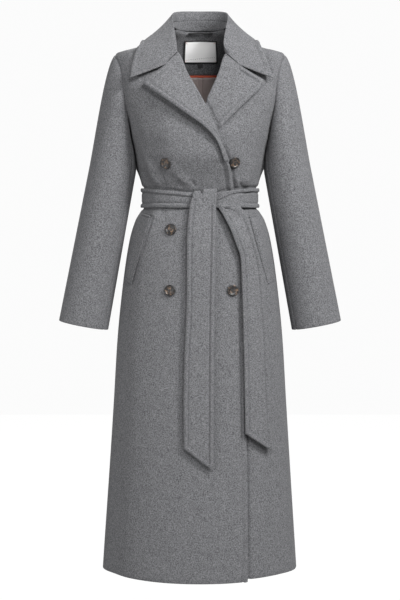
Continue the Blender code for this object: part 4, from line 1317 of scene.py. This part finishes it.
# Satin: how its threads waver, the size of its clouds, what each gives to the shade, and the threads' relief
SATIN_WAVER = 1.5
SATIN_CLOUD_SCALE = 40.0
SATIN_THREAD_SHARE = 0.3
SATIN_CLOUD_SHARE = 0.7
WEAVE_HEIGHT = 0.0001
SATIN_STRENGTH = 0.5


def make_satin(name, dark, light, threads, roughness):
    """A satin finish: fine threads across the cloth with a soft cloudy shade."""
    material, tree, shader = new_material(name, roughness)
    place = tree.nodes.new("ShaderNodeTexCoord").outputs["Object"]
    lines = tree.nodes.new("ShaderNodeTexWave")
    lines.bands_direction = "Z"
    lines.inputs["Scale"].default_value = threads
    lines.inputs["Distortion"].default_value = SATIN_WAVER
    tree.links.new(place, lines.inputs["Vector"])
    threaded = worked_out(tree, "MULTIPLY", lines.outputs["Fac"], SATIN_THREAD_SHARE)
    cloudy = noise(tree, place, SATIN_CLOUD_SCALE, detail=3.0)
    cloudy = worked_out(tree, "MULTIPLY", cloudy, SATIN_CLOUD_SHARE)
    share = worked_out(tree, "ADD", threaded, cloudy)
    tree.links.new(blended(tree, share, dark, light), shader.inputs["Base Color"])
    bumped(tree, shader, lines.outputs["Fac"], WEAVE_HEIGHT, SATIN_STRENGTH)
    return material


LINING_SATIN = make_satin(
    "lining_satin", dark=(0.225, 0.176, 0.168), light=(0.335, 0.270, 0.258), threads=300.0, roughness=0.42
)
PIPING_SATIN = make_satin(
    "piping_satin", dark=(0.42, 0.045, 0.014), light=(0.60, 0.085, 0.026), threads=500.0, roughness=0.5
)


def pleat(across, along):
    return -PLEAT_DIP * bell(across - 0.5, PLEAT_WIDTH)


# The facing is dressed in the wool with painted shade
facing_piece, _ = cloth(
    "facing_cloth", facing_shape, FACING_CELLS, WOOL_PAINTED_SHADE, FACING_CLOTH, facing=-1, sewn=("last", "first")
)
declare(facing_piece, "wool", "back_neck_facing")
piping, _ = cloth(
    "piping_tape", piping_shape, PIPING_CELLS, PIPING_SATIN, PIPING_CLOTH, facing=-1, free=("first",)
)
declare(piping, "piping", "neck_piping")
lining, _ = cloth(
    "lining_cloth", lining_shape, LINING_CELLS, LINING_SATIN, LINING_CLOTH, facing=-1, swell=pleat
)
declare(lining, "lining", "half_lining")

# The label's border and how soft its inner edge is, its threads and colours, and the tacks at its corners
LABEL_BORDER = 0.0036
LABEL_BORDER_EDGE = (0.85, 1.15)
LABEL_ROUGHNESS = 0.65
LABEL_THREADS = 420.0
LABEL_BLACK = (0.012, 0.012, 0.013)
LABEL_SHADED_WHITE = (0.93, 0.925, 0.92)
LABEL_WHITE = (0.985, 0.98, 0.975)
TACK_INSET = 0.0042
TACK_LONG = 0.0030
TACK_OFF = 0.0004
TACK_PITCH = 0.0016
TACK_STITCH = 0.0020


def make_label():
    """White woven cloth with a black border, from its place across and along the label."""
    material, tree, shader = new_material("label_weave", LABEL_ROUGHNESS)
    place = tree.nodes.new("ShaderNodeUVMap").outputs["UV"]
    split = tree.nodes.new("ShaderNodeSeparateXYZ")
    tree.links.new(place, split.inputs["Vector"])
    edges = []
    for axis, length in (("X", LABEL_SIZE[0]), ("Y", LABEL_SIZE[1])):
        off_centre = worked_out(tree, "ABSOLUTE", worked_out(tree, "SUBTRACT", split.outputs[axis], 0.5), 0.0)
        edges.append(worked_out(tree, "MULTIPLY", worked_out(tree, "SUBTRACT", 0.5, off_centre), length))
    low, high = (LABEL_BORDER * share for share in LABEL_BORDER_EDGE)
    inside = spread(tree, worked_out(tree, "MINIMUM", *edges), low, high)
    weave = tree.nodes.new("ShaderNodeTexWave")
    weave.inputs["Scale"].default_value = LABEL_THREADS
    tree.links.new(tree.nodes.new("ShaderNodeTexCoord").outputs["Object"], weave.inputs["Vector"])
    white = blended(tree, weave.outputs["Fac"], LABEL_SHADED_WHITE, LABEL_WHITE)
    tree.links.new(blended(tree, inside, LABEL_BLACK, white), shader.inputs["Base Color"])
    bumped(tree, shader, weave.outputs["Fac"], WEAVE_HEIGHT)
    return material


LABEL_WEAVE = make_label()
TAB_WEAVE = make_satin(
    "tab_weave", dark=(0.010, 0.010, 0.011), light=(0.028, 0.028, 0.030), threads=900.0, roughness=0.6
)
LOOP_CORD = make_satin(
    "loop_cord", dark=(0.006, 0.006, 0.007), light=(0.022, 0.022, 0.024), threads=700.0, roughness=0.6
)
PINK_THREAD = make_thread("pink_thread", dark=(0.55, 0.10, 0.09), light=(0.70, 0.20, 0.17))

label_shape = patch(*LABEL_SIZE, LABEL_TOP, LABEL_SHIFT, label_out - LABEL_CLOTH)
label_piece, _ = cloth("label_cloth", label_shape, LABEL_CELLS, LABEL_WEAVE, LABEL_CLOTH)
declare(label_piece, "label", "label")
tab_shape = patch(*TAB_SIZE, LABEL_TOP - LABEL_SIZE[1] - SEAM, TAB_SHIFT, label_out - LABEL_CLOTH)
tab_piece, _ = cloth("tab_cloth", tab_shape, TAB_CELLS, TAB_WEAVE, LABEL_CLOTH, free=("first",))
declare(tab_piece, "tab", "size_tab")
tack_lines = []
for side in (0, 1):
    for level in (0, 1):
        corner = np.array([side, level], float)
        inwards = (0.5 - corner) * 2
        shares = [corner + inwards * (TACK_INSET + TACK_LONG * step) / LABEL_SIZE for step in (0.0, 0.5, 1.0)]
        points = label_shape(*np.array(shares).T)
        tack_lines.append(points - np.array([0.0, TACK_OFF, 0.0]))
tacks = run_tree(
    "label_tacks", tack_lines, STITCH_TREE, PINK_THREAD, Pitch=TACK_PITCH, Length=TACK_STITCH
)
declare(tacks, "label")

# The hanger loop: two strands twisted together, which bow away from the facing
LOOP_SIZE = (0.064, 0.0045)
LOOP_HEIGHT = 0.0030
LOOP_BOW = 0.0025
LOOP_RADIUS = 0.0011
LOOP_TWISTS = 11
LOOP_POINTS = 180
LOOP_FLATNESS = 0.7
TUBE_SIDEWAYS = (0.0, 0.3, 1.0)


def tube(points, radius, sides=8):
    """Vertices and faces of a closed tube along points."""
    points = np.asarray(points)
    ahead = unit(np.gradient(points, axis=0))
    across = unit(np.cross(ahead, TUBE_SIDEWAYS))
    upwards = np.cross(ahead, across)
    angles = np.arange(sides) * 2 * math.pi / sides
    rings = points[:, None] + radius * (
        across[:, None] * np.cos(angles)[None, :, None] + upwards[:, None] * np.sin(angles)[None, :, None]
    )
    index = np.arange(len(points) * sides).reshape(len(points), sides)
    faces = []
    for k in range(len(points) - 1):
        for j in range(sides):
            after = (j + 1) % sides
            faces.append((index[k, j], index[k, after], index[k + 1, after], index[k + 1, j]))
    faces += [tuple(index[0][::-1]), tuple(index[-1])]
    return rings.reshape(-1, 3), faces


def plain_piece(name, parts, material):
    """One object from lists of vertices and faces."""
    vertices, faces = [], []
    for points, quads in parts:
        first = len(vertices)
        vertices += [tuple(point) for point in points]
        faces += [tuple(int(corner) + first for corner in quad) for quad in quads]
    mesh = bpy.data.meshes.new(name)
    mesh.from_pydata(vertices, [], faces)
    mesh.shade_smooth()
    mesh.materials.append(material)
    piece = bpy.data.objects.new(name, mesh)
    STUDIO.collection.objects.link(piece)
    return piece


loop_shape = patch(*LOOP_SIZE, LOOP_HEIGHT, LABEL_SHIFT, label_out - LOOP_RADIUS, LOOP_BOW)
along_loop = np.linspace(0, 1, LOOP_POINTS)
loop_middle = loop_shape(along_loop, 0 * along_loop + 0.5)
twist = 2 * math.pi * LOOP_TWISTS * along_loop
strands = []
for start in (0.0, math.pi):
    off = np.stack([0 * twist, LOOP_FLATNESS * np.cos(twist + start), np.sin(twist + start)], axis=1)
    strands.append(tube(loop_middle + off * LOOP_RADIUS, LOOP_RADIUS))
loop = plain_piece("loop_cord", strands, LOOP_CORD)
declare(loop, "loop", "hanger_loop")

# The pocket welts
# A slanted strip of doubled wool closes each hip pocket. It lies flat on the front and follows its creases,
# and both of its short ends are stitched down. The right one is a little thicker.
WELT_TOP = ((-0.1279, -0.4233), (-0.1078, -0.4305))
WELT_BOTTOM = ((-0.1690, -0.5710), (-0.1540, -0.5806))
WELT_CLOTH = {"right": 0.0020, "left": 0.0009}
WELT_GAP = 0.0006
WELT_INSET = 0.0042
WELT_CELLS = (16, 90)


def welt(front, side):
    """The shape of a welt between its four corners on a front."""
    corners = np.array([WELT_BOTTOM, WELT_TOP]) * np.array([side, 1])

    def shape(across, along):
        left = corners[0, 0] + (corners[1, 0] - corners[0, 0]) * along[:, None]
        right = corners[0, 1] + (corners[1, 1] - corners[0, 1]) * along[:, None]
        place = left + (right - left) * across[:, None]
        turn = turn_at(place[:, 0], place[:, 1])
        return on_form(turn, place[:, 1], front_out(front, turn, place[:, 1]) + WELT_GAP + WELT_CLOTH[front])

    return shape


for front, side, table in (("right", 1, CREASES_RIGHT), ("left", -1, CREASES_LEFT)):
    shape = welt(front, side)
    piece, lines = cloth(
        f"welt_{front}_cloth", shape, WELT_CELLS, WOOL, WELT_CLOTH[front], side,
        free=("start", "end", "first", "last"), stitched={"first": (0, 1), "last": (0, 1)}, inset=WELT_INSET,
        swell=lambda across, along: creases(shape(across, along), table),
    )
    declare(piece, "wool", f"pocket_welt_{front}")
    sew(f"welt_{front}_stitches", lines)

# The belt
# A sash of the same wool, doubled and topstitched along both edges. It goes once round the waist and is tied
# at the front: one end folds over the band and hangs, the other hangs from under it.
BELT_CLOTH = 0.0035
BELT_GAP = 0.0012
BELT_ENDS = (9, 354)
BELT_FALL_TURNS = (42, 60)
BELT_FALL_SIDE = 85
BELT_INSET = 0.0085
BAND_CELLS = (400, 36)
OVER_CELLS = (56, 260)
OVER_STITCHED_FROM = 0.46
UNDER_CELLS = (44, 220)
UNDER_STITCHED_FROM = 0.1
TailRow = namedtuple("TailRow", "left_x left_height right_x right_height out")
TAIL_OVER = [
    TailRow(-0.0145, -0.3730, 0.0325, -0.3715, 0.0055),
    TailRow(-0.0145, -0.3690, 0.0328, -0.3675, 0.0074),
    TailRow(-0.0145, -0.3672, 0.0332, -0.3657, 0.0125),
    TailRow(-0.0147, -0.3695, 0.0334, -0.3680, 0.0170),
    TailRow(-0.0153, -0.3770, 0.0330, -0.3755, 0.0186),
    TailRow(-0.0190, -0.4000, 0.0317, -0.4000, 0.0185),
    TailRow(-0.0232, -0.4350, 0.0316, -0.4350, 0.0180),
    TailRow(-0.0259, -0.4797, 0.0316, -0.4797, 0.0170),
    TailRow(-0.0270, -0.6119, 0.0292, -0.6119, 0.0160),
    TailRow(-0.0318, -0.7350, 0.0283, -0.7350, 0.0150),
    TailRow(-0.0341, -0.8500, 0.0277, -0.8700, 0.0150),
    TailRow(-0.0339, -0.9413, 0.0275, -0.9895, 0.0150),
]
TAIL_UNDER = [
    TailRow(0.0417, -0.4120, 0.0826, -0.4105, 0.0130),
    TailRow(0.0520, -0.4330, 0.0945, -0.4340, 0.0185),
    TailRow(0.0627, -0.4555, 0.1035, -0.4580, 0.0200),
    TailRow(0.0760, -0.4900, 0.1140, -0.4930, 0.0200),
    TailRow(0.0867, -0.5264, 0.1235, -0.5292, 0.0190),
    TailRow(0.0895, -0.5795, 0.1307, -0.5805, 0.0180),
    TailRow(0.0930, -0.6792, 0.1389, -0.6809, 0.0175),
    TailRow(0.0960, -0.8100, 0.1460, -0.8250, 0.0170),
    TailRow(0.0976, -0.9104, 0.1527, -0.9530, 0.0170),
]


def tail(rows, dip=None):
    """The shape of a belt end, across its width and down its length; one with a dip stands off level."""
    table = columns_of(rows)
    stations = np.linspace(0, 1, len(rows))

    def shape(across, along):
        column = {name: eased(stations, table[name], along) for name in table}
        x = column["left_x"] + (column["right_x"] - column["left_x"]) * across
        height = column["left_height"] + (column["right_height"] - column["left_height"]) * across
        if dip:
            height = height - dip(across, along)
        points = on_form(turn_at(x, height), height, column["out"])
        if dip:
            points[:, 2] = height
        return points

    return shape


def belt_turn(across):
    start, end = np.radians(BELT_ENDS)
    return start + (end - start) * across


def band(across, along):
    turn = belt_turn(across)
    signed = np.angle(np.exp(1j * turn))
    height = WAIST_BOTTOM + (WAIST_TOP - belt_dip(turn) - WAIST_BOTTOM) * along
    under = np.where(np.abs(signed) < math.radians(BELT_FALL_SIDE), lap(signed, WAIST_TOP), 0.0)
    under = np.where(signed > 0, under * (1 - ramp(signed, *np.radians(BELT_FALL_TURNS))), under)
    return on_form(turn, height, under + BELT_GAP + BELT_CLOTH)


# Left of the knot, as worn, the band folds over on itself: where the fold lies up its width at some turns,
# and where it puffs out and is pinched by the knot, in degrees
FOLD_TURNS = (13, 22, 28, 60)
FOLD_SHARES = (0.47, 0.63, 0.744, 0.81)
FOLD_EASE = 0.04
FOLD_FADE = (52, 68)
FOLD_PUFF = 0.0060
FOLD_PUFF_AT = 20
FOLD_PUFF_WIDTH = 16
FOLD_GROOVE = 0.0055
FOLD_PINCH = 0.0050
FOLD_PINCH_AT = 9
FOLD_PINCH_WIDTH = 6
FOLD_STITCHED_FROM = 0.104


def band_swell(across, along):
    away = np.degrees(np.angle(np.exp(1j * belt_turn(across))))
    beyond = along - np.interp(away, FOLD_TURNS, FOLD_SHARES)
    puff = FOLD_PUFF * bell(away - FOLD_PUFF_AT, FOLD_PUFF_WIDTH)
    puff = puff * (1 - ramp(beyond, -FOLD_EASE, FOLD_EASE))
    groove = FOLD_GROOVE * bell(beyond, FOLD_EASE)
    pinch = FOLD_PINCH * bell(away - FOLD_PINCH_AT, FOLD_PINCH_WIDTH)
    return np.where(away > 0, (puff - groove - pinch) * (1 - ramp(away, *FOLD_FADE)), 0.0)


# The knot: how far its left lobe, the outer corner of it and the notch beside it lie below its right lobe
LOBE_SPAN = (0.26, 0.34)
LOBE_DROP = 0.0040
CORNER_SPAN = 0.08
CORNER_DROP = 0.0040
NOTCH_AT = 0.36
NOTCH_HALF = 0.04
NOTCH_DROP = 0.0090
KNOT_END = (0.33, 0.46)
KNOT_GROOVE = 0.0030
KNOT_GROOVE_SPAN = (0.16, 0.22, 0.32, 0.44)


def knot_dip(across, along):
    lobe = LOBE_DROP * (1 - ramp(across, *LOBE_SPAN))
    corner = CORNER_DROP * np.clip(1 - across / CORNER_SPAN, 0.0, None) ** 2
    notch = NOTCH_DROP * bell(across - NOTCH_AT, NOTCH_HALF)
    return (lobe + corner + notch) * (1 - ramp(along, *KNOT_END))


def over_swell(across, along):
    groove = KNOT_GROOVE * bell(across - NOTCH_AT - NOTCH_HALF, NOTCH_HALF)
    return -groove * plateau(along, *KNOT_GROOVE_SPAN)


# The gathers at the top of the under tail: a trough that swings across it, between two ridges
TROUGH_ALONG = (0.0, 0.04, 0.125)
TROUGH_ACROSS = (0.30, 0.54, 0.65)
TROUGH_DEEP = 0.0085
TROUGH_HALF = 0.12
TROUGH_FADE = (0.05, 0.20)
RIDGES_ACROSS = (0.15, 0.90)
RIDGE_HIGH = 0.0045
RIDGE_FADE = (0.03, 0.12)


def under_swell(across, along):
    centre = np.interp(along, TROUGH_ALONG, TROUGH_ACROSS)
    trough = TROUGH_DEEP * bell(across - centre, TROUGH_HALF) * (1 - ramp(along, *TROUGH_FADE))
    ridges = sum(bell(across - ridge, TROUGH_HALF) for ridge in RIDGES_ACROSS)
    return RIDGE_HIGH * ridges * (1 - ramp(along, *RIDGE_FADE)) - trough


band_span = (FOLD_STITCHED_FROM, 1)
band_piece, band_lines = cloth(
    "belt_band_cloth", band, BAND_CELLS, WOOL, BELT_CLOTH, free=("first", "last"),
    stitched={"first": band_span, "last": band_span}, inset=BELT_INSET, swell=band_swell,
)
declare(band_piece, "wool", "belt_band")
over_span = (OVER_STITCHED_FROM, 1)
over_piece, over_lines = cloth(
    "belt_tail_over_cloth", tail(TAIL_OVER, knot_dip), OVER_CELLS, WOOL, BELT_CLOTH, -1,
    free=("start", "end", "first", "last"), inset=BELT_INSET, swell=over_swell,
    stitched={"start": over_span, "end": over_span, "last": (0, 1)},
)
declare(over_piece, "wool", "belt_tail_over")
under_span = (UNDER_STITCHED_FROM, 1)
under_piece, under_lines = cloth(
    "belt_tail_under_cloth", tail(TAIL_UNDER), UNDER_CELLS, WOOL, BELT_CLOTH, -1,
    free=("start", "end", "first", "last"), inset=BELT_INSET, swell=under_swell,
    stitched={"start": under_span, "end": under_span, "last": (0, 1)},
)
declare(under_piece, "wool", "belt_tail_under")
sew("belt_stitches", band_lines + over_lines + under_lines)

# The buttons
# Six round buttons of mottled brown resin, turned with a raised rim and a dished middle, each sewn on through
# four holes. Two stand above the belt and four below, in two columns.
BUTTON_RADIUS = 0.0128
BUTTON_THICK = 0.0044
BUTTON_GAP = 0.0006
BUTTON_SIDES = 64
BUTTON_SHARP = 40
HOLE_RADIUS = 0.0011
HOLE_OFF = 0.0025
DRILL_ENDS = (-0.002, 0.008)
DRILL_SIDES = 16
ButtonPoint = namedtuple("ButtonPoint", "radius thickness")
BUTTON_OUTLINE = [
    ButtonPoint(0.30, 0.60),
    ButtonPoint(0.56, 0.62),
    ButtonPoint(0.66, 0.70),
    ButtonPoint(0.72, 0.88),
    ButtonPoint(0.77, 0.97),
    ButtonPoint(0.83, 1.0),
    ButtonPoint(0.90, 0.96),
    ButtonPoint(0.96, 0.82),
    ButtonPoint(1.0, 0.60),
    ButtonPoint(0.99, 0.42),
    ButtonPoint(0.92, 0.22),
    ButtonPoint(0.72, 0.0),
]
Button = namedtuple("Button", "x height front")
BUTTONS = [
    Button(-0.0725, -0.3080, "right"),
    Button(0.0762, -0.3080, "left"),
    Button(-0.0635, -0.4580, "right"),
    Button(0.0790, -0.4558, "right"),
    Button(-0.0658, -0.5924, "right"),
    Button(0.0714, -0.5924, "right"),
]

# The resin: its polish, dark clouds that thicken towards the rim, and amber streaks between them
RESIN_ROUGHNESS = 0.42
RESIN_COAT = 0.08
RESIN_COAT_ROUGHNESS = 0.25
CLOUD_SCALE = 170.0
CLOUD_ROUGHNESS = 0.55
CLOUD_SPREAD = (0.39, 0.47)
RIM_DARKER = 0.20
STREAK_SCALE = 300.0
STREAK_SPREAD = (0.42, 0.62)
BLACK_RESIN = (0.007, 0.006, 0.006)
BROWN_RESIN = (0.055, 0.032, 0.020)
AMBER_RESIN = (0.175, 0.115, 0.074)


def make_tortoiseshell():
    material, tree, shader = new_material("tortoiseshell", RESIN_ROUGHNESS)
    shader.inputs["Coat Weight"].default_value = RESIN_COAT
    shader.inputs["Coat Roughness"].default_value = RESIN_COAT_ROUGHNESS
    place = tree.nodes.new("ShaderNodeTexCoord").outputs["Object"]
    rim = tree.nodes.new("ShaderNodeAttribute")
    rim.attribute_name = "rim"
    darker = worked_out(tree, "MULTIPLY", rim.outputs["Fac"], RIM_DARKER)
    clouds = noise(tree, place, CLOUD_SCALE, detail=3.0, roughness=CLOUD_ROUGHNESS)
    share = spread(tree, worked_out(tree, "SUBTRACT", clouds, darker), *CLOUD_SPREAD)
    streaks = spread(tree, noise(tree, place, STREAK_SCALE, detail=2.0), *STREAK_SPREAD)
    amber = blended(tree, streaks, BROWN_RESIN, AMBER_RESIN)
    tree.links.new(blended(tree, share, BLACK_RESIN, amber), shader.inputs["Base Color"])
    return material


TORTOISESHELL = make_tortoiseshell()


def make_button_mesh():
    """One turned button with its four holes cut through."""
    rings = []
    angles = np.arange(BUTTON_SIDES) * 2 * math.pi / BUTTON_SIDES
    for point in BUTTON_OUTLINE:
        radius = BUTTON_RADIUS * point.radius
        level = np.full(BUTTON_SIDES, BUTTON_THICK * point.thickness)
        rings.append(np.stack([radius * np.cos(angles), radius * np.sin(angles), level], axis=1))
    faces = []
    for k in range(len(rings) - 1):
        for j in range(BUTTON_SIDES):
            after = (j + 1) % BUTTON_SIDES
            upper, lower = k * BUTTON_SIDES, (k + 1) * BUTTON_SIDES
            faces.append((upper + j, lower + j, lower + after, upper + after))
    last = (len(rings) - 1) * BUTTON_SIDES
    faces += [tuple(range(BUTTON_SIDES)), tuple(last + j for j in reversed(range(BUTTON_SIDES)))]
    blank = plain_piece("button_blank", [(np.concatenate(rings), faces)], TORTOISESHELL)
    drills = []
    for x in (-HOLE_OFF, HOLE_OFF):
        for y in (-HOLE_OFF, HOLE_OFF):
            ends = np.array([[x, y, level] for level in DRILL_ENDS])
            drills.append(tube(np.linspace(*ends, 3), HOLE_RADIUS, DRILL_SIDES))
    drill = plain_piece("button_drill", drills, TORTOISESHELL)
    cut = blank.modifiers.new("holes", "BOOLEAN")
    cut.object = drill
    cut.operation = "DIFFERENCE"
    graph = bpy.context.evaluated_depsgraph_get()
    made = bpy.data.meshes.new_from_object(blank.evaluated_get(graph))
    bpy.data.objects.remove(blank)
    bpy.data.objects.remove(drill)
    made.set_sharp_from_angle(angle=math.radians(BUTTON_SHARP))
    rim = made.attributes.new("rim", "FLOAT", "POINT")
    rim.data.foreach_set("value", [point.co.xy.length / BUTTON_RADIUS for point in made.vertices])
    return made


# The threads that hold a button run from hole to hole, just above its dished middle
HOLDING_PITCH = 0.0025
HOLDING_LONG = 0.0034
HOLDING_RADIUS = 0.0006
HOLDING_OFF = 0.0002
HOLDING_SLOPE = 0.1
holding_level = BUTTON_THICK * BUTTON_OUTLINE[0].thickness + HOLDING_OFF
button_mesh = make_button_mesh()
thread_lines = []
for number, button in enumerate(BUTTONS, 1):
    turn = turn_at(button.x, button.height)
    out = front_out(button.front, turn, button.height) + BUTTON_GAP
    seat = on_form(turn, button.height, out)
    normal = Vector(on_form(turn, button.height, out + 1.0) - seat)
    facing_turn = normal.to_track_quat("Z", "Y").to_matrix().to_4x4()
    placed = Matrix.Translation(seat) @ facing_turn
    mesh = button_mesh.copy()
    mesh.transform(placed)
    piece = bpy.data.objects.new(f"button_{number}_turned", mesh)
    STUDIO.collection.objects.link(piece)
    declare(piece, "button", f"button_{number}")
    for x in (-HOLE_OFF, HOLE_OFF):
        run = [Vector((x, y, holding_level - abs(y) * HOLDING_SLOPE)) for y in (-HOLE_OFF, 0.0, HOLE_OFF)]
        thread_lines.append([placed @ point for point in run])
threads = run_tree(
    "button_threads", thread_lines, STITCH_TREE, GREY_THREAD,
    Pitch=HOLDING_PITCH, Length=HOLDING_LONG, Thread_Radius=HOLDING_RADIUS,
)
declare(threads, "button")
